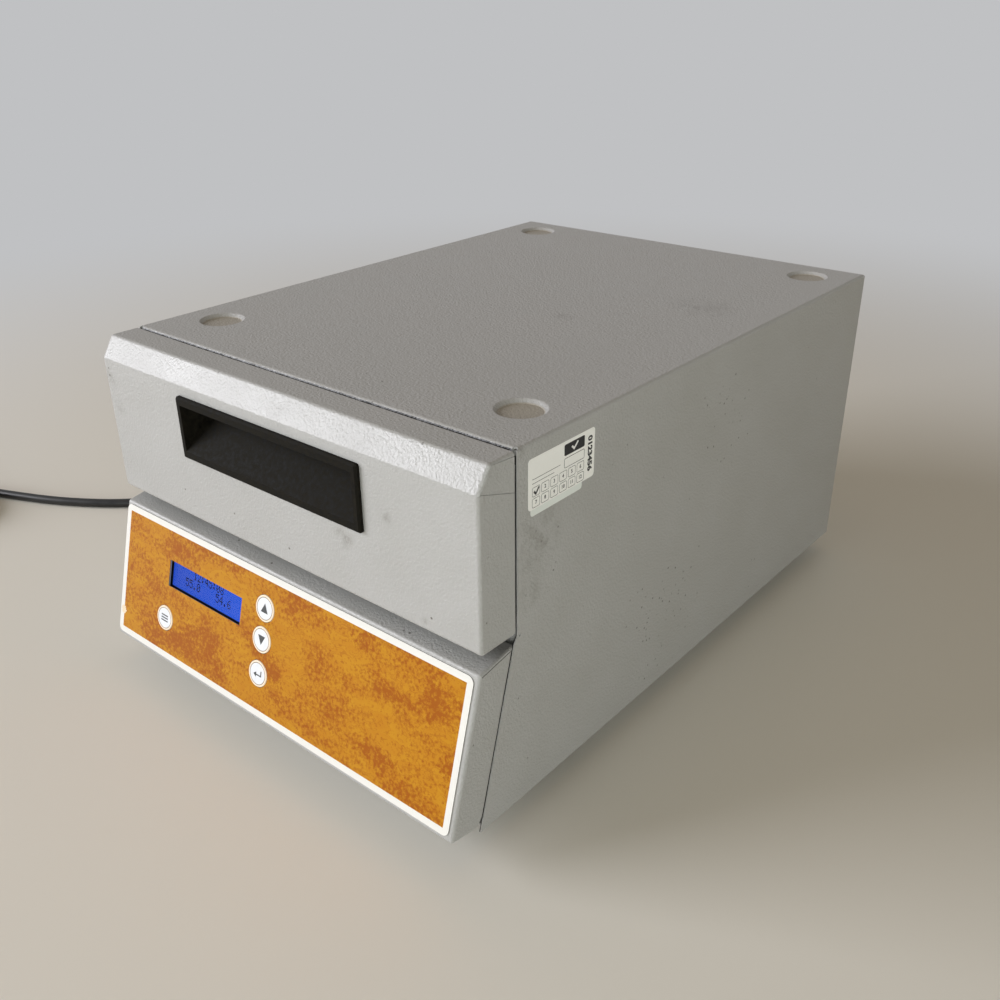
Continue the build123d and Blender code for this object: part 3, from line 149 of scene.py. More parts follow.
# ---------------------------------------- painted steel
def powder_coat(name, chipped=(), smudged=(), dusty=()):
    """Pebbled satin powder coat on sheet steel. The pebbles break up its highlights; it has faint
    clouding and a few small dark chips. Chips gather at each chipped (x, y, z, reach), a dark smear
    lies on each smudged one and brown dust on each dusty one."""
    material, tree, shader, spot = new_finish(name)

    def nearness(places, full):
        """1 within a share of the reach of any of the places, and 0 out of their reach."""
        best = 0.0
        for x, y, z, reach in places:
            away = add(tree, "ShaderNodeVectorMath", {0: spot, 1: place(x, y, z)}, operation="DISTANCE")
            near = add(tree, "ShaderNodeMapRange", {
                "Value": away.outputs["Value"], "From Min": reach * MM * full, "From Max": reach * MM,
                "To Min": 1.0, "To Max": 0.0})
            best = add(tree, "ShaderNodeMath", {0: near.outputs[0], 1: best}, operation="MAXIMUM").outputs[0]
        return best

    # The pebbles are drawn 1.5 mm across, coarser than the real ones of under 1 mm, so that they show.
    pebbles = add(tree, "ShaderNodeTexNoise", {"Vector": spot, "Scale": per_mm(1.5), "Detail": 2.0})
    clouds = add(tree, "ShaderNodeTexNoise", {"Vector": spot, "Scale": per_mm(40), "Detail": 4.0})
    colour = add(tree, "ShaderNodeMix", {
        SHARE: clouds.outputs["Fac"], FIRST: linear("#a4a4a1"), SECOND: linear("#b0b0af")},
        data_type="RGBA").outputs[MIXED]
    layers = []
    if smudged:
        smears = add(tree, "ShaderNodeTexNoise", {
            "Vector": spot, "Scale": per_mm(9), "Detail": 4.0, "Roughness": 0.7})
        smears = add(tree, "ShaderNodeMapRange", {
            "Value": smears.outputs["Fac"], "From Min": 0.42, "From Max": 0.85, "To Max": 0.85})
        smudge = add(tree, "ShaderNodeMath", {0: nearness(smudged, 0.1), 1: smears.outputs[0]},
                     operation="MULTIPLY")
        layers.append((smudge.outputs[0], "#625c52"))
    if dusty:
        layers.append((nearness(dusty, 0.93), "#a09a8d"))
    # One cell in 170 holds a chip of about 1 mm, and up to one in three where they gather.
    cells = add(tree, "ShaderNodeTexVoronoi", {"Vector": spot, "Scale": per_mm(4)})
    chip = add(tree, "ShaderNodeMapRange", {
        "Value": cells.outputs["Distance"], "From Min": 0.13, "From Max": 0.22, "To Min": 0.9, "To Max": 0.0})
    share = add(tree, "ShaderNodeMath", {0: nearness(chipped, 0.1), 1: 0.3, 2: 0.006},
                operation="MULTIPLY_ADD")
    chance = add(tree, "ShaderNodeSeparateColor", {"Color": cells.outputs["Color"]}).outputs
    chips = add(tree, "ShaderNodeMath", {0: chance["Red"], 1: share.outputs[0]}, operation="LESS_THAN")
    for strength in (chip.outputs[0], chance["Green"]):
        chips = add(tree, "ShaderNodeMath", {0: chips.outputs[0], 1: strength}, operation="MULTIPLY")
    layers.append((chips.outputs[0], "#4a453c"))
    for cover, code in layers:
        colour = add(tree, "ShaderNodeMix", {SHARE: cover, FIRST: colour, SECOND: linear(code)},
                     data_type="RGBA").outputs[MIXED]
    shine = add(tree, "ShaderNodeMapRange", {
        "Value": clouds.outputs["Fac"], "From Min": 0.3, "From Max": 0.7, "To Min": 0.3, "To Max": 0.4})
    bump = add(tree, "ShaderNodeBump", {
        "Height": pebbles.outputs["Fac"], "Strength": 1.0, "Distance": 0.42 * MM})
    feed(shader, {"Base Color": colour, "Roughness": shine.outputs[0], "Normal": bump.outputs[0]})
    return material


def seamed_coat(name, chipped):
    """The same coat on the folded console, with the fine dark line where each ear meets the ledge, and
    darkening that thickens towards the rear of the ledge under the door: mostly painted shade, partly dust."""
    material = powder_coat(name, chipped)
    tree = material.node_tree
    shader = tree.nodes["Principled BSDF"]
    spot = add(tree, "ShaderNodeTexCoord").outputs["Object"]
    ledge = add(tree, "ShaderNodeMapping", {
        "Vector": spot, "Location": place(0, PANEL_Y, PANEL_Z), "Rotation": (LEDGE_SLOPE, 0, 0)},
        vector_type="TEXTURE")
    axes = add(tree, "ShaderNodeSeparateXYZ", {"Vector": ledge.outputs[0]}).outputs
    aside = add(tree, "ShaderNodeMath", {0: axes["X"]}, operation="ABSOLUTE")
    outer = add(tree, "ShaderNodeMath", {0: aside.outputs[0], 1: (CASE_HALF - 0.1) * MM},
                operation="GREATER_THAN")
    rear = add(tree, "ShaderNodeMath", {0: axes["Y"], 1: 1.0 * MM}, operation="GREATER_THAN")
    seam = add(tree, "ShaderNodeMath", {0: axes["Z"], 1: -1.5 * MM, 2: 0.24 * MM}, operation="COMPARE")
    for limit in (outer, rear):
        seam = add(tree, "ShaderNodeMath", {0: seam.outputs[0], 1: limit.outputs[0]}, operation="MULTIPLY")
    # Painted shade: the ledge darkens towards #55534e from 1.5 mm to 22 mm behind its front corner, as under
    # the door's overhang.
    on_ledge = add(tree, "ShaderNodeMath", {0: axes["Z"], 1: 0.0, 2: 0.6 * MM}, operation="COMPARE")
    painted_shade = add(tree, "ShaderNodeMapRange", {
        "Value": axes["Y"], "From Min": 1.5 * MM, "From Max": 22 * MM, "To Min": 0.0, "To Max": 0.7})
    painted_shade = add(tree, "ShaderNodeMath", {0: painted_shade.outputs[0], 1: on_ledge.outputs[0]}, operation="MULTIPLY")
    colour = shader.inputs["Base Color"].links[0].from_socket
    for cover, code in ((painted_shade, "#55534e"), (seam, "#45433e")):
        colour = add(tree, "ShaderNodeMix", {SHARE: cover.outputs[0], FIRST: colour, SECOND: linear(code)},
                     data_type="RGBA").outputs[MIXED]
    feed(shader, {"Base Color": colour})
    return material


def hemmed_coat(name, chipped, smudged, dusty):
    """The same coat on the cover, where the front face of the hem, in the gap close behind the door, is
    painted near black as shade."""
    material = powder_coat(name, chipped, smudged, dusty)
    tree = material.node_tree
    shader = tree.nodes["Principled BSDF"]
    spot = add(tree, "ShaderNodeTexCoord").outputs["Object"]
    axes = add(tree, "ShaderNodeSeparateXYZ", {"Vector": spot}).outputs
    aside = add(tree, "ShaderNodeMath", {0: axes["X"]}, operation="ABSOLUTE").outputs[0]
    # Painted shade: the hem's front face inside the gap behind the door is coloured near black, so that the
    # gap reads dark.
    painted_shade = 1.0
    for along, limit in ((axes["Y"], COVER_FRONT + 0.5), (axes["Z"], CASE_TOP - 0.7),
                         (aside, CASE_HALF - 0.7)):
        within = add(tree, "ShaderNodeMath", {0: along, 1: limit * MM}, operation="LESS_THAN")
        painted_shade = add(tree, "ShaderNodeMath", {0: within.outputs[0], 1: painted_shade}, operation="MULTIPLY").outputs[0]
    colour = add(tree, "ShaderNodeMix", {
        SHARE: painted_shade, FIRST: shader.inputs["Base Color"].links[0].from_socket, SECOND: linear("#1b1a18")},
        data_type="RGBA")
    feed(shader, {"Base Color": colour.outputs[MIXED]})
    return material


# ---------------------------------------- bare metals
def zinc_plate():
    """Bright zinc plate on stamped steel: a cool clouded shine with fine rolling lines."""
    material, tree, shader, spot = new_finish("zinc_plated_steel", metallic=1.0)
    clouds = add(tree, "ShaderNodeTexNoise", {"Vector": spot, "Scale": per_mm(22), "Detail": 3.0})
    stretched = add(tree, "ShaderNodeMapping", {"Vector": spot, "Scale": (0.04, 1.0, 1.0)})
    lines = add(tree, "ShaderNodeTexNoise", {
        "Vector": stretched.outputs[0], "Scale": per_mm(0.8), "Detail": 2.0})
    colour = add(tree, "ShaderNodeMix", {
        SHARE: clouds.outputs["Fac"], FIRST: linear("#adb0b2"), SECOND: linear("#bcbebe")}, data_type="RGBA")
    shine = add(tree, "ShaderNodeMapRange", {"Value": clouds.outputs["Fac"], "To Min": 0.33, "To Max": 0.42})
    bump = add(tree, "ShaderNodeBump", {
        "Height": lines.outputs["Fac"], "Strength": 0.25, "Distance": 0.05 * MM})
    feed(shader, {"Base Color": colour.outputs[MIXED], "Roughness": shine.outputs[0],
                  "Normal": bump.outputs[0]})
    return material


def brushed_stainless():
    """Brushed stainless sheet: fine lines along x that stretch its highlights, with a faint heat tint."""
    material, tree, shader, spot = new_finish("brushed_stainless", metallic=1.0)
    stretched = add(tree, "ShaderNodeMapping", {"Vector": spot, "Scale": (0.015, 1.0, 1.0)})
    lines = add(tree, "ShaderNodeTexNoise", {
        "Vector": stretched.outputs[0], "Scale": per_mm(0.5), "Detail": 3.0})
    tint = add(tree, "ShaderNodeTexNoise", {"Vector": spot, "Scale": per_mm(70), "Detail": 2.0})
    colour = add(tree, "ShaderNodeMix", {
        SHARE: tint.outputs["Fac"], FIRST: linear("#b3aea6"), SECOND: linear("#c4c4c3")}, data_type="RGBA")
    shine = add(tree, "ShaderNodeMapRange", {"Value": lines.outputs["Fac"], "To Min": 0.2, "To Max": 0.42})
    bump = add(tree, "ShaderNodeBump", {
        "Height": lines.outputs["Fac"], "Strength": 0.35, "Distance": 0.04 * MM})
    feed(shader, {"Base Color": colour.outputs[MIXED], "Roughness": shine.outputs[0],
                  "Normal": bump.outputs[0]})
    return material


def turned_metal(name, dark, light, roughness):
    """Machined or plated small metal parts: a tight shine with handling smears."""
    material, tree, shader, spot = new_finish(name, metallic=1.0)
    smears = add(tree, "ShaderNodeTexNoise", {"Vector": spot, "Scale": per_mm(2.5), "Detail": 4.0})
    colour = add(tree, "ShaderNodeMix", {
        SHARE: smears.outputs["Fac"], FIRST: linear(dark), SECOND: linear(light)}, data_type="RGBA")
    shine = add(tree, "ShaderNodeMapRange", {
        "Value": smears.outputs["Fac"], "To Min": roughness * 0.7, "To Max": roughness * 1.5})
    feed(shader, {"Base Color": colour.outputs[MIXED], "Roughness": shine.outputs[0]})
    return material


# ---------------------------------------- plastics, rubbers and wool
def moulded(name, dark, light, grain, roughness, depth=0.04, specular=0.5, dust_size=14):
    """Moulded plastic or rubber: an even spark-eroded grain of the given size and depth, slightly clouded
    by dust."""
    material, tree, shader, spot = new_finish(name)
    shader.inputs["Specular IOR Level"].default_value = specular
    skin = add(tree, "ShaderNodeTexNoise", {"Vector": spot, "Scale": per_mm(grain), "Detail": 2.0})
    dust = add(tree, "ShaderNodeTexNoise", {
        "Vector": spot, "Scale": per_mm(dust_size), "Detail": 5.0, "Roughness": 0.6})
    dust = add(tree, "ShaderNodeMapRange", {"Value": dust.outputs["Fac"], "From Min": 0.35, "From Max": 0.7})
    colour = add(tree, "ShaderNodeMix", {
        SHARE: dust.outputs[0], FIRST: linear(dark), SECOND: linear(light)}, data_type="RGBA")
    shine = add(tree, "ShaderNodeMapRange", {
        "Value": dust.outputs[0], "To Min": roughness * 0.85, "To Max": min(1.0, roughness * 1.2)})
    bump = add(tree, "ShaderNodeBump", {
        "Height": skin.outputs["Fac"], "Strength": 0.4, "Distance": depth * MM})
    feed(shader, {"Base Color": colour.outputs[MIXED], "Roughness": shine.outputs[0],
                  "Normal": bump.outputs[0]})
    return material


def mineral_wool():
    """Pressed mineral wool board: matt, felted with long fibres, straw brown with paler strands."""
    material, tree, shader, spot = new_finish("mineral_wool_board", roughness=0.95)
    stretched = add(tree, "ShaderNodeMapping", {"Vector": spot, "Scale": (0.2, 0.45, 1.0)})
    fibres = add(tree, "ShaderNodeTexNoise", {
        "Vector": stretched.outputs[0], "Scale": per_mm(0.9), "Detail": 5.0, "Distortion": 0.6})
    strands = add(tree, "ShaderNodeMapRange", {
        "Value": fibres.outputs["Fac"], "From Min": 0.35, "From Max": 0.65})
    colour = add(tree, "ShaderNodeMix", {
        SHARE: strands.outputs[0], FIRST: linear("#8d7f58"), SECOND: linear("#c9bd97")}, data_type="RGBA")
    bump = add(tree, "ShaderNodeBump", {"Height": strands.outputs[0], "Strength": 0.8, "Distance": 0.5 * MM})
    feed(shader, {"Base Color": colour.outputs[MIXED], "Normal": bump.outputs[0]})
    return material


def heater_rubber():
    """Red silicone heater mat, cured on glass cloth: satin, with the square print of its 1 mm threads."""
    material, tree, shader, spot = new_finish("red_silicone_on_glass_cloth", roughness=0.48)
    threads = [add(tree, "ShaderNodeTexWave", {"Vector": spot, "Scale": banded(1.0)}, bands_direction=way)
               for way in "XY"]
    cloth = add(tree, "ShaderNodeMath", {0: threads[0].outputs["Fac"], 1: threads[1].outputs["Fac"]},
                operation="MULTIPLY")
    colour = add(tree, "ShaderNodeMix", {
        SHARE: cloth.outputs[0], FIRST: linear("#7f2317"), SECOND: linear("#ab3624")}, data_type="RGBA")
    bump = add(tree, "ShaderNodeBump", {"Height": cloth.outputs[0], "Strength": 0.5, "Distance": 0.1 * MM})
    feed(shader, {"Base Color": colour.outputs[MIXED], "Normal": bump.outputs[0]})
    return material


def acrylic_pane():
    """Thin clear acrylic over the display: nearly all light goes straight through each face, which keeps a
    faint gloss with a trace of wiping smears."""
    material, tree, shader, spot = new_finish("clear_acrylic")
    shader.inputs["Base Color"].default_value = linear("#0a0b0e")
    shader.inputs["IOR"].default_value = 1.49
    shader.inputs["Alpha"].default_value = 0.15
    smears = add(tree, "ShaderNodeTexNoise", {"Vector": spot, "Scale": per_mm(8), "Detail": 4.0})
    shine = add(tree, "ShaderNodeMapRange", {"Value": smears.outputs["Fac"], "To Min": 0.02, "To Max": 0.12})
    feed(shader, {"Roughness": shine.outputs[0]})
    return material


# ---------------------------------------- electronics
def circuit_board():
    """Glass-fibre board with green solder mask: glossy, with dark parts and paler tracks 1.27 mm apart."""
    material, tree, shader, spot = new_finish("green_solder_mask", roughness=0.3)
    cells = add(tree, "ShaderNodeTexVoronoi", {"Vector": spot, "Scale": per_mm(5.08)}, distance="MANHATTAN")
    tracks = add(tree, "ShaderNodeTexBrick", {
        "Vector": spot, "Scale": per_mm(2.54), "Mortar Size": 0.12, "Brick Width": 2.0, "Row Height": 0.5,
        "Color1": linear("#17502c"), "Color2": linear("#1c5c33"), "Mortar": linear("#2f7d49")})
    parts = add(tree, "ShaderNodeMath", {0: cells.outputs["Color"], 1: 0.62}, operation="GREATER_THAN")
    colour = add(tree, "ShaderNodeMix", {
        SHARE: parts.outputs[0], FIRST: tracks.outputs["Color"], SECOND: linear("#20231f")}, data_type="RGBA")
    bump = add(tree, "ShaderNodeBump", {
        "Height": tracks.outputs["Fac"], "Strength": 0.3, "Distance": 0.05 * MM})
    feed(shader, {"Base Color": colour.outputs[MIXED], "Normal": bump.outputs[0]})
    return material


def ribbon_cable():
    """Grey flat cable of round wires 1.27 mm apart, ridged along its length."""
    material, tree, shader, spot = new_finish("grey_ribbon_cable", roughness=0.5)
    wires = add(tree, "ShaderNodeTexWave", {"Vector": spot, "Scale": banded(1.27)}, bands_direction="X")
    colour = add(tree, "ShaderNodeMix", {
        SHARE: wires.outputs["Fac"], FIRST: linear("#7c7d7e"), SECOND: linear("#a9aaab")}, data_type="RGBA")
    bump = add(tree, "ShaderNodeBump", {
        "Height": wires.outputs["Fac"], "Strength": 0.8, "Distance": 0.3 * MM})
    feed(shader, {"Base Color": colour.outputs[MIXED], "Normal": bump.outputs[0]})
    return material


def display_glow(name, left, right):
    """Backlit blue character display: its own even glow, from one colour at the left to another at the
    right."""
    material, tree, shader, spot = new_finish(name, roughness=0.25)
    shader.inputs["Base Color"].default_value = linear("#060a20")
    shader.inputs["Specular IOR Level"].default_value = 0.0
    shader.inputs["Emission Strength"].default_value = 1.0
    x = add(tree, "ShaderNodeSeparateXYZ", {"Vector": spot}).outputs["X"]
    across = add(tree, "ShaderNodeMapRange", {
        "Value": x, "From Min": (WINDOW_X - WINDOW_WIDTH / 2) * MM,
        "From Max": (WINDOW_X + WINDOW_WIDTH / 2) * MM})
    colour = add(tree, "ShaderNodeMix", {
        SHARE: across.outputs[0], FIRST: linear(left), SECOND: linear(right)}, data_type="RGBA")
    feed(shader, {"Emission Color": colour.outputs[MIXED]})
    return material


# ---------------------------------------- printed film and keys
def over_panel(tree, spot):
    """The place over the control panel as one socket, and its axes: X across, Y up and Z out."""
    face = add(tree, "ShaderNodeMapping", {
        "Vector": spot, "Location": place(0, PANEL_Y, PANEL_Z), "Rotation": (math.pi / 2 - PANEL_TILT, 0, 0)},
        vector_type="TEXTURE").outputs[0]
    return face, add(tree, "ShaderNodeSeparateXYZ", {"Vector": face}).outputs


def printed_film():
    """Polyester film, printed on its back: satin, a white border round an ochre field with thin veins and
    2 mm rust flecks, which crowd in some 24 mm zones and leave others open. Its left edge is worn white."""
    material, tree, shader, spot = new_finish("printed_polyester_film", roughness=0.42)
    shader.inputs["Specular IOR Level"].default_value = 0.15
    face, axes = over_panel(tree, spot)
    flow = add(tree, "ShaderNodeMapping", {
        "Vector": face, "Rotation": (0, 0, math.radians(-24)), "Scale": (0.6, 1.2, 1.0)}).outputs[0]
    zones = add(tree, "ShaderNodeTexNoise", {
        "Vector": flow, "Scale": per_mm(24), "Detail": 2.5, "Distortion": 0.6})
    flecks = add(tree, "ShaderNodeTexNoise", {
        "Vector": face, "Scale": per_mm(2.2), "Detail": 4.0, "Roughness": 0.72})
    veins = add(tree, "ShaderNodeTexNoise", {
        "Vector": flow, "Scale": per_mm(8), "Detail": 3.0, "Distortion": 1.2})
    crowd = add(tree, "ShaderNodeMath", {0: zones.outputs["Fac"], 1: 0.75, 2: flecks.outputs["Fac"]},
                operation="MULTIPLY_ADD")
    rust = add(tree, "ShaderNodeMapRange", {
        "Value": crowd.outputs[0], "From Min": 0.84, "From Max": 1.0, "To Max": 0.8})
    vein = add(tree, "ShaderNodeMath", {0: veins.outputs["Fac"], 1: 0.5, 2: 0.012}, operation="COMPARE")
    vein = add(tree, "ShaderNodeMath", {0: vein.outputs[0], 1: 0.4}, operation="MULTIPLY")
    rusty = add(tree, "ShaderNodeMath", {0: rust.outputs[0], 1: vein.outputs[0]}, operation="MAXIMUM")
    tones = add(tree, "ShaderNodeMix", {
        SHARE: veins.outputs["Fac"], FIRST: linear("#b06d13"), SECOND: linear("#c28e1e")}, data_type="RGBA")
    print_colour = add(tree, "ShaderNodeMix", {
        SHARE: rusty.outputs[0], FIRST: tones.outputs[MIXED], SECOND: linear("#924609")}, data_type="RGBA")
    sides = []
    for along, middle, half in (
            (axes["X"], (FILM_LEFT + FILM_RIGHT) / 2, (FILM_RIGHT - FILM_LEFT) / 2),
            (axes["Y"], -(FILM_TOP + FILM_LOW) / 2, (FILM_LOW - FILM_TOP) / 2)):
        away = add(tree, "ShaderNodeMath", {0: along, 1: middle * MM}, operation="SUBTRACT")
        away = add(tree, "ShaderNodeMath", {0: away.outputs[0]}, operation="ABSOLUTE")
        sides.append(add(tree, "ShaderNodeMath", {0: away.outputs[0], 1: (half - FILM_BORDER) * MM},
                         operation="GREATER_THAN").outputs[0])
    border = add(tree, "ShaderNodeMath", {0: sides[0], 1: sides[1]}, operation="MAXIMUM")
    colour = add(tree, "ShaderNodeMix", {
        SHARE: border.outputs[0], FIRST: print_colour.outputs[MIXED], SECOND: linear("#e3e2dd")},
        data_type="RGBA").outputs[MIXED]
    # The worn place lies low at the left, and reaches about 3 mm with a ragged edge.
    worn = add(tree, "ShaderNodeVectorMath", {0: face, 1: Vector((-147.5, -75.5, FILM_OUT)) * MM},
               operation="DISTANCE")
    worn = add(tree, "ShaderNodeMath", {0: flecks.outputs["Fac"], 1: 5.0 * MM, 2: worn.outputs["Value"]},
               operation="MULTIPLY_ADD")
    worn = add(tree, "ShaderNodeMath", {0: worn.outputs[0], 1: 5.2 * MM}, operation="LESS_THAN")
    colour = add(tree, "ShaderNodeMix", {
        SHARE: worn.outputs[0], FIRST: colour, SECOND: linear("#e3d3b8")}, data_type="RGBA").outputs[MIXED]
    # Painted shade: the film's cut edge, below its face, is coloured darker grey.
    edge = add(tree, "ShaderNodeMath", {0: axes["Z"], 1: (FILM_OUT - 0.05) * MM}, operation="LESS_THAN")
    colour = add(tree, "ShaderNodeMix", {
        SHARE: edge.outputs[0], FIRST: colour, SECOND: linear("#77756f")}, data_type="RGBA").outputs[MIXED]
    bump = add(tree, "ShaderNodeBump", {
        "Height": flecks.outputs["Fac"], "Strength": 0.15, "Distance": 0.05 * MM})
    feed(shader, {"Base Color": colour, "Normal": bump.outputs[0]})
    return material


def key_cap(name, x, down):
    """Domed key under its own printed disc: a cream rim, a thin grey ring and a cool white middle."""
    material, tree, shader, spot = new_finish(name, roughness=0.4)
    face, axes = over_panel(tree, spot)
    middle = add(tree, "ShaderNodeCombineXYZ", {"X": x * MM, "Y": -down * MM, "Z": axes["Z"]})
    away = add(tree, "ShaderNodeVectorMath", {0: face, 1: middle.outputs[0]}, operation="DISTANCE")
    smears = add(tree, "ShaderNodeTexNoise", {"Vector": face, "Scale": per_mm(2.0), "Detail": 3.0})
    disc = add(tree, "ShaderNodeMix", {
        SHARE: smears.outputs["Fac"], FIRST: linear("#d9dde4"), SECOND: linear("#eceef2")}, data_type="RGBA")
    colour = disc.outputs[MIXED]
    for radius, code in ((6.5, "#8d7f6d"), (7.0, "#f3e2cb")):
        past = add(tree, "ShaderNodeMath", {0: away.outputs["Value"], 1: radius * MM},
                   operation="GREATER_THAN")
        colour = add(tree, "ShaderNodeMix", {SHARE: past.outputs[0], FIRST: colour, SECOND: linear(code)},
                     data_type="RGBA").outputs[MIXED]
    feed(shader, {"Base Color": colour})
    return material


def print_ink(name, dark, light):
    """Screen-printed ink: flat and even, with slight unevenness of its cover."""
    material, tree, shader, spot = new_finish(name, roughness=0.55)
    cover = add(tree, "ShaderNodeTexNoise", {"Vector": spot, "Scale": per_mm(0.7), "Detail": 3.0})
    colour = add(tree, "ShaderNodeMix", {
        SHARE: cover.outputs["Fac"], FIRST: linear(dark), SECOND: linear(light)}, data_type="RGBA")
    feed(shader, {"Base Color": colour.outputs[MIXED]})
    return material


FINISHES = {
    "case_paint": powder_coat("powder_coat_on_steel"),
    "plated_steel": zinc_plate(),
    "stainless_liner": brushed_stainless(),
    "magnet_nickel": turned_metal("nickel_plate", "#a8a49d", "#cbc7c0", 0.2),
    "mineral_wool": mineral_wool(),
    "red_silicone": heater_rubber(),
    "grey_silicone": moulded("grey_silicone_rubber", "#696967", "#7c7b78", 1.2, 0.6),
    "black_plastic": moulded("black_abs_moulding", "#0a0906", "#1e1b14", 0.9, 0.7, 0.1, specular=0.1,
                             dust_size=2.5),
    "white_nylon": moulded("white_nylon", "#d8d5c9", "#e6e3d8", 0.8, 0.42),
    "printed_film": printed_film(),
    "clear_pane": acrylic_pane(),
    "display_frame": moulded("black_enamelled_display_frame", "#141416", "#232326", 0.5, 0.4),
    "circuit_board": circuit_board(),
    "spacer_brass": turned_metal("machined_brass", "#9c7f3e", "#c5a662", 0.28),
    "ribbon_grey": ribbon_cable(),
    "foot_rubber": moulded("black_foot_rubber", "#151515", "#262523", 0.9, 0.8),
    "lead_black": moulded("black_pvc_moulding", "#141415", "#1f1e1d", 0.9, 0.48),
}
SEAT_FLOORS = [(x, y, CASE_TOP - SEAT_DEPTH, 12.5) for x in (-121.9, 121.9) for y in (40.6, 365.1)]
OWN_FINISHES = {
    "cover": hemmed_coat("powder_coat_on_cover",
                         [(CASE_HALF, 14, 165, 26), (CASE_HALF, 8, 140, 9), (CASE_HALF, 145, 66, 60),
                          (CASE_HALF, 205, 174, 40), (-55, 1, CASE_TOP, 6), (57, 1, CASE_TOP, 5),
                          (97, 1, CASE_TOP, 5), (150, 1, CASE_TOP, 5), (104, 250, CASE_TOP, 30)],
                         [(CASE_HALF, 16, 172, 24), (CASE_HALF, 9, 142, 11), (CASE_HALF, 2, 222, 5),
                          (104, 250, CASE_TOP, 26), (46, 178, CASE_TOP, 9)], SEAT_FLOORS),
    "door_skin": powder_coat("powder_coat_on_door",
                             [(10, -22, 216, 9), (-30, -27.5, 207, 12), (40, -27.5, 206, 10)],
                             [(-147, -27.5, 198, 8), (-142, -27.5, 180, 6), (59, -27.5, 158, 10),
                              (10, -22, 216, 9), (92, -27.5, 180, 5), (116, -27.5, 129, 4)]),
    "console_housing": seamed_coat("powder_coat_on_console", [(85, -15, 115.7, 26), (-60, -15, 115.7, 16)]),
}
for key, (key_x, key_down) in KEYS.items():
    OWN_FINISHES[key] = key_cap("printed_cap_of_" + key, key_x, key_down)

for name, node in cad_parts.items():
    for holder in node.material_slots:
        holder.material = OWN_FINISHES.get(name) or next(
            finish for slot, finish in FINISHES.items() if holder.material.name.startswith(slot))


# ---------------------------------------- making pieces
def plain(name, mesh):
    """Mesh data from a mesh that was being made, which is used up."""
    data = bpy.data.meshes.new(name)
    mesh.to_mesh(data)
    mesh.free()
    return data


def settled(holder):
    """Mesh data of an object's final shape. The object is used up."""
    data = bpy.data.meshes.new_from_object(holder.evaluated_get(bpy.context.evaluated_depsgraph_get()))
    bpy.data.objects.remove(holder)
    return data


def finished(name, shape, material, body):
    """A piece with flat faces that rides on a body. Its shape is mesh data or a mesh that was being made."""
    data = shape if isinstance(shape, bpy.types.Mesh) else plain(name, shape)
    piece = put_in(name, data)
    data.materials.clear()
    data.materials.append(material)
    for face in data.polygons:
        face.use_smooth = False
    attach(piece, body)
    return piece


def add_plate(mesh, outline, at, low, high, hole=None):
    """Adds a closed flat plate to a mesh. 'at' puts (u, v, height) in the frame, and a hole has as many
    points as the outline."""
    under = [mesh.verts.new(at(u, v, low)) for u, v in outline]
    over = [mesh.verts.new(at(u, v, high)) for u, v in outline]
    count = len(outline)
    if hole is None:
        faces = [over, under]
        walls = [(under, over)]
    else:
        hole_under = [mesh.verts.new(at(u, v, low)) for u, v in hole]
        hole_over = [mesh.verts.new(at(u, v, high)) for u, v in hole]
        faces = []
        walls = [(under, over), (over, hole_over), (hole_over, hole_under), (hole_under, under)]
    for face in faces:
        mesh.faces.new(face)
    for start, end in walls:
        for i in range(count):
            j = (i + 1) % count
            mesh.faces.new((start[i], start[j], end[j], end[i]))
    bmesh.ops.recalc_face_normals(mesh, faces=mesh.faces)


def rounded(left, right, top, low, radius, steps=5):
    """A rectangle's outline with round corners."""
    points = []
    for u, v, start in ((right - radius, low - radius, 0), (left + radius, low - radius, 90),
                        (left + radius, top + radius, 180), (right - radius, top + radius, 270)):
        for step in range(steps + 1):
            angle = math.radians(start + 90 * step / steps)
            points.append((u + radius * math.cos(angle), v + radius * math.sin(angle)))
    return points


CAP_SHARE = 0.73                # a numeral's height as a share of its type's size


def numerals(text, height, at, low, high, weight):
    """A mesh of plain numerals, centred, standing from one height to the other over a surface. The weight
    thickens their strokes."""
    curve = bpy.data.curves.new("numerals", "FONT")
    curve.body = text
    curve.size = height / CAP_SHARE
    curve.align_x = curve.align_y = "CENTER"
    curve.resolution_u = 3
    curve.offset = weight
    curve.extrude = 0.5
    letters = settled(put_in("numerals", curve))
    mesh = bmesh.new()
    mesh.from_mesh(letters)
    bmesh.ops.remove_doubles(mesh, verts=mesh.verts, dist=1e-4)
    for vert in mesh.verts:
        u, v, side = vert.co
        vert.co = at(u, -v, low if side < 0 else high)
    bmesh.ops.recalc_face_normals(mesh, faces=mesh.faces)
    bpy.data.meshes.remove(letters)
    return mesh


def join(target, source):
    """Adds one mesh to another. The source is used up."""
    data = plain("joined", source)
    target.from_mesh(data)
    bpy.data.meshes.remove(data)


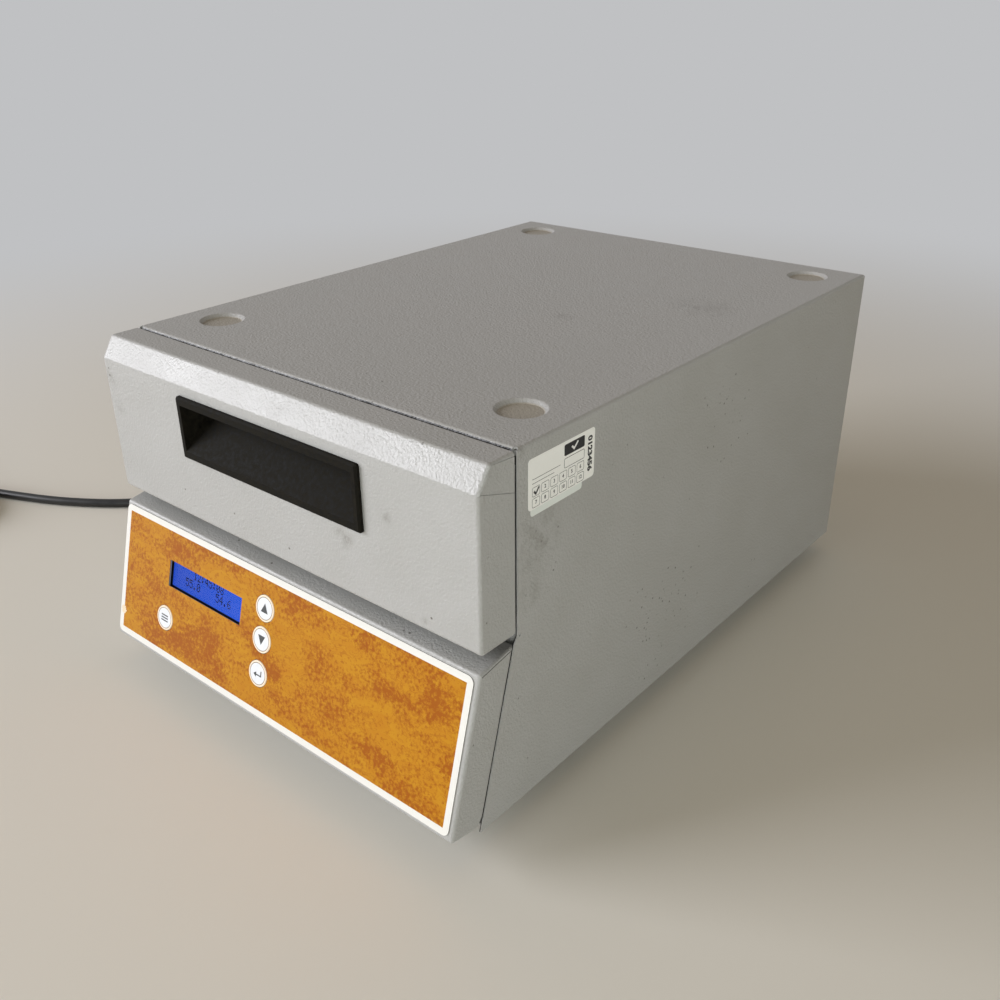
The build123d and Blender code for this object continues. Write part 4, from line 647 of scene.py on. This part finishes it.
def setting_out_tree():
    """Puts a copy of a pattern on every point, each turned by chance about its own axis along y."""
    tree = bpy.data.node_groups.new("set_out_on_points", "GeometryNodeTree")
    for name, kind in (("Points", "Geometry"), ("Pattern", "Object"), ("Size", "Vector"), ("Turn", "Float"),
                       ("Seed", "Int"), ("Finish", "Material")):
        tree.interface.new_socket(name, in_out="INPUT", socket_type="NodeSocket" + kind)
    tree.interface.new_socket("Copies", in_out="OUTPUT", socket_type="NodeSocketGeometry")
    given = add(tree, "NodeGroupInput").outputs
    pattern = add(tree, "GeometryNodeObjectInfo", {"Object": given["Pattern"]})
    chance = add(tree, "FunctionNodeRandomValue", {3: given["Turn"], "Seed": given["Seed"]},
                 data_type="FLOAT")
    turn = add(tree, "ShaderNodeCombineXYZ", {"Y": chance.outputs[1]})
    copies = add(tree, "GeometryNodeInstanceOnPoints", {
        "Points": given["Points"], "Instance": pattern.outputs["Geometry"], "Rotation": turn.outputs[0],
        "Scale": given["Size"]})
    real = add(tree, "GeometryNodeRealizeInstances", {"Geometry": copies.outputs[0]})
    coated = add(tree, "GeometryNodeSetMaterial", {
        "Geometry": real.outputs[0], "Material": given["Finish"]})
    add(tree, "NodeGroupOutput", {"Copies": coated.outputs[0]})
    return tree


SETTING_OUT = setting_out_tree()


def set_out(name, spots, pattern, material, body, turn=0.0, seed=7):
    """One piece of a pattern's copies at the given points, each turned by up to this angle. The pattern is
    used up."""
    data = bpy.data.meshes.new(name + "_points")
    data.from_pydata([tuple(spot) for spot in spots], [], [])
    holder = put_in(name + "_points", data)
    master = bpy.data.objects.new(name + "_pattern", plain(name + "_pattern", pattern))
    modifier = holder.modifiers.new("set_out", "NODES")
    modifier.node_group = SETTING_OUT
    values = {"Pattern": master, "Size": (1, 1, 1), "Turn": turn, "Seed": seed, "Finish": material}
    for item in SETTING_OUT.interface.items_tree:
        if item.in_out == "INPUT" and item.name in values:
            modifier[item.identifier] = values[item.name]
    result = settled(holder)
    bpy.data.objects.remove(master)
    return finished(name, result, material, body)


# ---------------------------------------- display
# The blue field lies between the display's frame and the pane, its numerals on it as single dots.
MODULE_OUT = -2.5                           # height of the display frame's face, under the panel
FIELD_LOW, FIELD_HIGH = MODULE_OUT + 0.01, MODULE_OUT + 0.04
DOT_OUT = MODULE_OUT + 0.065                # height of a dot's middle
CELL_PITCH, ROW_PITCH = 3.85, 6.5
DOT_PITCH_X, DOT_PITCH_Y = 0.64, 0.78
DOT_WIDTH, DOT_HEIGHT = 0.62, 0.76
COLUMNS = 16
LINES_DOWN = 31.7                           # middle of the two lines
LINES = [(LINES_DOWN - ROW_PITCH / 2, "    12:45:08    "), (LINES_DOWN + ROW_PITCH / 2, "  55.0    54.6  ")]
# Each numeral's rows of dots, from its top.
DOTS = {
    "0": "01110 10001 10011 10101 11001 10001 01110", "1": "00100 01100 00100 00100 00100 00100 01110",
    "2": "01110 10001 00001 00010 00100 01000 11111", "4": "00010 00110 01010 10010 11111 00010 00010",
    "5": "11111 10000 11110 00001 00001 10001 01110", "6": "00110 01000 10000 11110 10001 10001 01110",
    "8": "01110 10001 10001 01110 10001 10001 01110", ".": "00000 00000 00000 00000 00000 01100 01100",
    ":": "00000 01100 01100 00000 01100 01100 00000",
}

field_mesh = bmesh.new()
add_plate(field_mesh, rounded(WINDOW_X - WINDOW_WIDTH / 2, WINDOW_X + WINDOW_WIDTH / 2,
                              WINDOW_DOWN - WINDOW_HEIGHT / 2, WINDOW_DOWN + WINDOW_HEIGHT / 2, 0.5),
          on_panel, FIELD_LOW, FIELD_HIGH)
finished("display_field", field_mesh, display_glow("blue_display_glow", "#2a57da", "#3266f4"), "case")

dot_spots = []
for line_down, text in LINES:
    for column, letter in enumerate(text):
        rows = DOTS.get(letter, "").split()
        cell_x = WINDOW_X + (column - (COLUMNS - 1) / 2) * CELL_PITCH
        dot_spots += [on_panel(cell_x + (i - 2) * DOT_PITCH_X, line_down + (row - 3) * DOT_PITCH_Y, DOT_OUT)
                      for row, line in enumerate(rows) for i, dot in enumerate(line) if dot == "1"]
dot_mesh = bmesh.new()
panel_zero = on_panel(0, 0, 0)
add_plate(dot_mesh, rounded(-DOT_WIDTH / 2, DOT_WIDTH / 2, -DOT_HEIGHT / 2, DOT_HEIGHT / 2, 0.05, 1),
          lambda u, v, out: on_panel(u, v, out) - panel_zero, -0.02, 0.02)
set_out("display_dots", dot_spots, dot_mesh, display_glow("dark_display_dots", "#040b2e", "#060f3c"), "case")

# ---------------------------------------- signs on the keys
# A triangle up, a triangle down, a return arrow, and three bars.
KEY_SIGNS = {
    "key_up": [[(-3.1, 2.6), (0.0, -3.2), (3.1, 2.6)]],
    "key_down": [[(-3.1, -2.6), (3.1, -2.6), (0.0, 3.2)]],
    "key_enter": [[(2.6, -2.4), (3.4, -2.4), (3.4, 1.2), (-1.2, 1.2), (-1.2, 0.4), (2.6, 0.4)],
                  [(-3.6, 0.8), (-1.2, -0.9), (-1.2, 2.5)]],
    "key_mode": [[(-3.4, v - 0.42), (3.4, v - 0.42), (3.4, v + 0.42), (-3.4, v + 0.42)]
                 for v in (-1.8, 0, 1.8)],
}
KEY_INK_OUT = KEY_OUT + 0.04
sign_ink = print_ink("dark_grey_key_ink", "#34383a", "#44484a")
for key, (key_x, key_down) in KEYS.items():
    sign = bmesh.new()
    for outline in KEY_SIGNS[key]:
        add_plate(sign, [(key_x + u, key_down + v) for u, v in outline], on_panel, KEY_OUT, KEY_INK_OUT)
    finished("sign_on_" + key, sign, sign_ink, key)

# ---------------------------------------- test label
# A paper label with a bare box, a ticked block, twelve boxes and plain numbers, over an older one.
LABEL_BELOW_OUT, LABEL_OUT, LABEL_INK_OUT = 0.06, 0.12, 0.15
BOX_ALONG, BOX_DOWN = 13.9, 26.3            # middle of the first box
BOX_PITCH, BOX_ROW_PITCH = 7.13, 5.85
BOXES_IN_ROW = 6
RULE_WIDTH = 0.25


def box_middle(index):
    """The place of a box on the label, along and down."""
    return BOX_ALONG + BOX_PITCH * (index % BOXES_IN_ROW), BOX_DOWN + BOX_ROW_PITCH * (index // BOXES_IN_ROW)


label_mesh = bmesh.new()
add_plate(label_mesh, rounded(9.8, 51.2, 20.0, 39.0, 1.8), on_side, 0.0, LABEL_BELOW_OUT)
finished("test_label_below", label_mesh, print_ink("faded_label_paper", "#dfe5e0", "#e8ece8"),
         "case")
label_mesh = bmesh.new()
add_plate(label_mesh, rounded(8.0, 61.4, 8.4, 35.4, 2.0), on_side, 0.0, LABEL_OUT)
finished("test_label", label_mesh, print_ink("white_label_paper", "#f2f2ee", "#f8f8f5"),
         "case")

ink_mesh = bmesh.new()
add_plate(ink_mesh, rounded(36.0, 52.7, 10.2, 16.2, 0.8), on_side, LABEL_OUT, LABEL_INK_OUT)
add_plate(ink_mesh, rounded(36.0, 52.7, 17.5, 22.7, 0.9), on_side, LABEL_OUT, LABEL_INK_OUT,
          hole=rounded(36.25, 52.45, 17.75, 22.45, 0.65))
for rule_down, rule_end in ((19.4, 33.0), (21.6, 28.0)):
    add_plate(ink_mesh, [(11.0, rule_down), (rule_end, rule_down), (rule_end, rule_down + RULE_WIDTH),
                         (11.0, rule_down + RULE_WIDTH)], on_side, LABEL_OUT, LABEL_INK_OUT)
# The first box is ticked, and the others hold the numbers from 2 to 12.
add_plate(ink_mesh, [(11.8, 26.4), (12.8, 25.6), (13.8, 26.8), (15.8, 24.3), (16.6, 25.0), (13.8, 28.4)],
          on_side, LABEL_OUT, LABEL_INK_OUT)
for index in range(1, 2 * BOXES_IN_ROW):
    box_along, box_down = box_middle(index)
    join(ink_mesh, numerals(str(index + 1), 2.0, lambda u, v, out: on_side(box_along + u, box_down + v, out),
                            LABEL_OUT, LABEL_INK_OUT, weight=0.06))
# A number stands upright at the label's rear edge.
join(ink_mesh, numerals("0123456", 3.5, lambda u, v, out: on_side(57.3 - v, 21.8 + u * 1.15, out),
                        LABEL_OUT, LABEL_INK_OUT, weight=0.22))
finished("test_label_print", ink_mesh, print_ink("black_label_ink", "#1b1c1e", "#2a2b2d"),
         "case")

box_mesh = bmesh.new()
side_zero = on_side(0, 0, 0)
add_plate(box_mesh, rounded(-3.0, 3.0, -2.5, 2.5, 0.9), lambda u, v, out: on_side(u, v, out) - side_zero,
          -0.015, 0.015, hole=rounded(-2.78, 2.78, -2.28, 2.28, 0.68))
set_out("test_label_boxes", [on_side(*box_middle(index), (LABEL_OUT + LABEL_INK_OUT) / 2)
                             for index in range(2 * BOXES_IN_ROW)],
        box_mesh, print_ink("grey_label_ink", "#222426", "#303234"), "case")

tick_mesh = bmesh.new()
add_plate(tick_mesh, [(41.6, 13.0), (42.5, 12.3), (44.0, 13.6), (46.8, 11.0), (47.6, 11.8), (44.0, 15.2)],
          on_side, LABEL_INK_OUT, LABEL_INK_OUT + 0.02)
finished("test_label_tick", tick_mesh, print_ink("white_label_ink", "#ececea", "#f2f2f0"),
         "case")


# ---------------------------------------- screws
SCREW_RADIUS, SCREW_LENGTH = 1.5, 6.0
SCREW_TIP, SCREW_TIP_IN = 0.5, 0.45         # the tip's taper, along and in
SCREW_SIDES = 28
# A pan head's profile, as shares of its radius and height.
PAN_HEAD = [(0.0, 1.0), (0.45, 0.98), (0.75, 0.86), (0.93, 0.62), (1.0, 0.35), (1.0, 0.0)]


def pan_head_screw(head_radius, head_height, recess):
    """A pan head screw along y, its head outwards from y = 0, with a cross recess of this width."""
    profile = [(head_radius * out, head_height * up) for out, up in PAN_HEAD]
    profile += [(SCREW_RADIUS, 0.0), (SCREW_RADIUS, -SCREW_LENGTH + SCREW_TIP),
                (SCREW_RADIUS - SCREW_TIP_IN, -SCREW_LENGTH), (0.0, -SCREW_LENGTH)]
    mesh = bmesh.new()
    rings = []
    for r, height in profile:
        if r == 0.0:
            rings.append([mesh.verts.new((0, height * MM, 0))])
        else:
            rings.append([mesh.verts.new((r * math.cos(t) * MM, height * MM, r * math.sin(t) * MM))
                          for t in (2 * math.pi * i / SCREW_SIDES for i in range(SCREW_SIDES))])
    for upper, lower in zip(rings, rings[1:]):
        for i in range(SCREW_SIDES):
            j = (i + 1) % SCREW_SIDES
            corners = [upper[i % len(upper)], upper[j % len(upper)],
                       lower[j % len(lower)], lower[i % len(lower)]]
            mesh.faces.new(list(dict.fromkeys(corners)))
    bmesh.ops.recalc_face_normals(mesh, faces=mesh.faces)
    cutter = bmesh.new()
    for wide, deep in ((recess * 0.2, recess), (recess, recess * 0.2)):
        ends = []
        for height, share in ((head_height + 1, 1.25), (head_height - recess * 0.75, 0.45)):
            ends.append([cutter.verts.new((u * wide * share * MM, height * MM, v * deep * share * MM))
                         for u, v in ((-1, -1), (1, -1), (1, 1), (-1, 1))])
        cutter.faces.new(ends[0])
        cutter.faces.new(ends[1])
        for i in range(4):
            cutter.faces.new((ends[0][i], ends[0][(i + 1) % 4], ends[1][(i + 1) % 4], ends[1][i]))
    bmesh.ops.recalc_face_normals(cutter, faces=cutter.faces)
    screw = put_in("screw_body", plain("screw_body", mesh))
    cross = put_in("screw_cross", plain("screw_cross", cutter))
    cut = screw.modifiers.new("cross_recess", "BOOLEAN")
    cut.operation = "DIFFERENCE"
    cut.solver = "EXACT"
    cut.use_self = True
    cut.object = cross
    mesh = bmesh.new()
    mesh.from_mesh(settled(screw))
    bpy.data.objects.remove(cross)
    return mesh


DOOR_SCREW_SEAT = -2.4                      # y of the inner panel's rear face
REAR_SCREWS = [(-147.9, 39.0), (147.9, 39.0), (-147.9, 95.0), (147.9, 95.0), (-147.9, 190.0), (147.9, 190.0),
               (-80.0, 219.4), (80.0, 219.4)]
DOOR_SCREWS = [(-143.3, 162.5), (143.3, 162.5), (-143.3, 189.4), (143.3, 189.4)]
screw_steel = turned_metal("zinc_plated_screw", "#8f9294", "#c3c5c6", 0.3)
screws = set_out("rear_cross_screws", [place(x, CASE_DEPTH, z) for x, z in REAR_SCREWS],
                 pan_head_screw(head_radius=3.0, head_height=2.0, recess=1.9), screw_steel, "case",
                 turn=math.pi / 2)
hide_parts("rear_screws")
screws = set_out("door_cross_screws", [place(x, DOOR_SCREW_SEAT, z) for x, z in DOOR_SCREWS],
                 pan_head_screw(head_radius=2.6, head_height=1.4, recess=1.5), screw_steel, "door",
                 turn=math.pi / 2, seed=11)
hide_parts("door_screws")

# ---------------------------------------- mains lead
LEAD_DIAMETER = 7.4
LIES = 3.75                     # height of the lead's middle where it lies on the table
LEAD_ROUTE = [(-95, 453.3, 53), (-95, 481.3, 53), (-103, 507, 42), (-123, 524, 26), (-152, 528, 11),
              (-186, 521, LIES), (-217, 498, LIES), (-240, 462, LIES), (-256, 412, LIES),
              (-269, 352, LIES), (-279, 290, LIES), (-290, 218, LIES), (-310, 150, LIES),
              (-346, 84, LIES), (-402, 43, LIES), (-462, 16.5, LIES), (-494, 4.7, LIES)]
COIL_RADII = [51.5, 47.4, 43.3, 39.2, 35.1, 31.0, 35.1, 39.2, 43.3, 47.4]    # one for each half turn
COIL_CLIMB = 5                  # the half turn that climbs to the upper layer
COIL_RISE = 8.2
COIL_STEPS = 12                 # points in each half turn
COIL_LEAD_IN = 7.4              # the straight stretch at each end of the coil
TAIL = [(24, 0), (48, 5)]       # ahead and to the left of the coil's end


def coil_turns(start, heading):
    """Points of a round coil that winds in on the table and out again on top, its end and its heading."""
    up = Vector((0, 0, 1))
    at = start + heading * COIL_LEAD_IN
    points = []
    for index, radius in enumerate(COIL_RADII):
        left = up.cross(heading)
        rise = COIL_RISE if index == COIL_CLIMB else 0.0
        centre = at + left * radius
        reach = radius / math.cos(math.pi / COIL_STEPS / 2)
        for step in range(COIL_STEPS):
            share = (step + 0.5) / COIL_STEPS
            turn = math.pi * share
            points.append(centre - left * reach * math.cos(turn) + heading * reach * math.sin(turn)
                          + up * rise * share)
        at = at + left * (2 * radius) + up * rise
        heading = -heading
    return points, at + heading * COIL_LEAD_IN, heading


def lead_points():
    """The lead's whole route: the free stretch from the rear inlet, the coil, and the tail to the plug."""
    route = [Vector(p) for p in LEAD_ROUTE]
    heading = (route[-1] - route[-2]).normalized()
    turns, end, heading = coil_turns(route[-1], heading)
    left = Vector((0, 0, 1)).cross(heading)
    tail = [end] + [end + heading * ahead + left * aside for ahead, aside in TAIL]
    return route + turns + tail


def mains_lead(points):
    """The lead as one smooth line with a round section."""
    curve = bpy.data.curves.new("mains_lead", "CURVE")
    curve.dimensions = "3D"
    curve.bevel_depth = LEAD_DIAMETER / 2 * MM
    curve.bevel_resolution = 5
    curve.resolution_u = 8
    curve.use_fill_caps = True
    line = curve.splines.new("NURBS")
    line.points.add(len(points) - 1)
    for knot, point in zip(line.points, points):
        knot.co = (*place(*point), 1.0)
    line.order_u = 3
    line.use_endpoint_u = True
    return put_in("mains_lead", curve)


route_points = lead_points()
lead = mains_lead(route_points)
lead.data.materials.append(moulded("black_pvc_sheath", "#151516", "#201f1e", 1.3, 0.42, depth=0.06))
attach(lead, "case")
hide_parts("power_cord", "power_cord_coil", "power_cord_tail")

# ---------------------------------------- floor and lights
BACKGROUND = "#c0c1c3"
FLOOR_HALF = 60
FADE_START, FADE_END = 0.4, 1.5             # away from the oven's middle


def bench_laminate():
    """Matt pale laminate, which the camera sees fade into the background away from the oven."""
    material, tree, shader, spot = new_finish("bench_laminate_pale")
    shader.inputs["Base Color"].default_value = linear("#e4e1d8")
    away = add(tree, "ShaderNodeVectorMath", {0: spot}, operation="LENGTH")
    fade = add(tree, "ShaderNodeMapRange", {
        "Value": away.outputs["Value"], "From Min": FADE_START, "From Max": FADE_END},
        interpolation_type="SMOOTHSTEP")
    seen = add(tree, "ShaderNodeLightPath").outputs["Is Camera Ray"]
    share = add(tree, "ShaderNodeMath", {0: fade.outputs[0], 1: seen}, operation="MULTIPLY")
    glow = add(tree, "ShaderNodeEmission", {"Color": linear(BACKGROUND), "Strength": 1.0})
    both = add(tree, "ShaderNodeMixShader", {0: share.outputs[0], 1: shader.outputs[0], 2: glow.outputs[0]})
    tree.links.new(both.outputs[0], tree.nodes["Material Output"].inputs["Surface"])
    return material


bench = bpy.data.meshes.new("floor")
bench.from_pydata([(u * FLOOR_HALF, v * FLOOR_HALF, 0) for u, v in ((-1, -1), (1, -1), (1, 1), (-1, 1))],
                  [], [(0, 1, 2, 3)])
bench.materials.append(bench_laminate())
put_in("floor", bench)


def area_light(name, spot, size, power, colour):
    """A soft rectangular lamp, turned to the oven. Its size is in metres and its power in watts."""
    light = bpy.data.lights.new(name, "AREA")
    light.shape = "RECTANGLE"
    light.size, light.size_y = size
    light.energy = power
    light.color = linear(colour)[:3]
    lamp = put_in(name, light)
    lamp.location = spot
    lamp.rotation_euler = (-Vector(spot)).to_track_quat("-Z", "Y").to_euler()


area_light("window_light", (-2.7, -2.5, 1.42), (2.4, 1.8), 150, "#f5f5fb")
area_light("ceiling_light", (-0.2, 0.1, 2.4), (2.4, 2.4), 4, "#ffcf8a")
area_light("room_fill", (1.5, -1.6, 0.55), (1.1, 0.8), 21.5, "#f8fdfa")

# The world lights the oven a little, and the camera, gloss and glass see it as the plain background.
world = bpy.data.worlds.new("studio")
bpy.context.scene.world = world
world.use_nodes = True
sky = world.node_tree
paths = add(sky, "ShaderNodeLightPath").outputs
seen = add(sky, "ShaderNodeMath", {0: paths["Is Camera Ray"], 1: paths["Is Glossy Ray"]}, operation="MAXIMUM")
seen = add(sky, "ShaderNodeMath", {0: seen.outputs[0], 1: paths["Is Transmission Ray"]}, operation="MAXIMUM")
light_sky = add(sky, "ShaderNodeBackground", {"Color": linear("#f8ead2"), "Strength": 0.18})
seen_sky = add(sky, "ShaderNodeBackground", {"Color": linear(BACKGROUND), "Strength": 1.0})
both = add(sky, "ShaderNodeMixShader", {
    0: seen.outputs[0], 1: light_sky.outputs[0], 2: seen_sky.outputs[0]})
sky.links.new(both.outputs[0], sky.nodes["World Output"].inputs["Surface"])
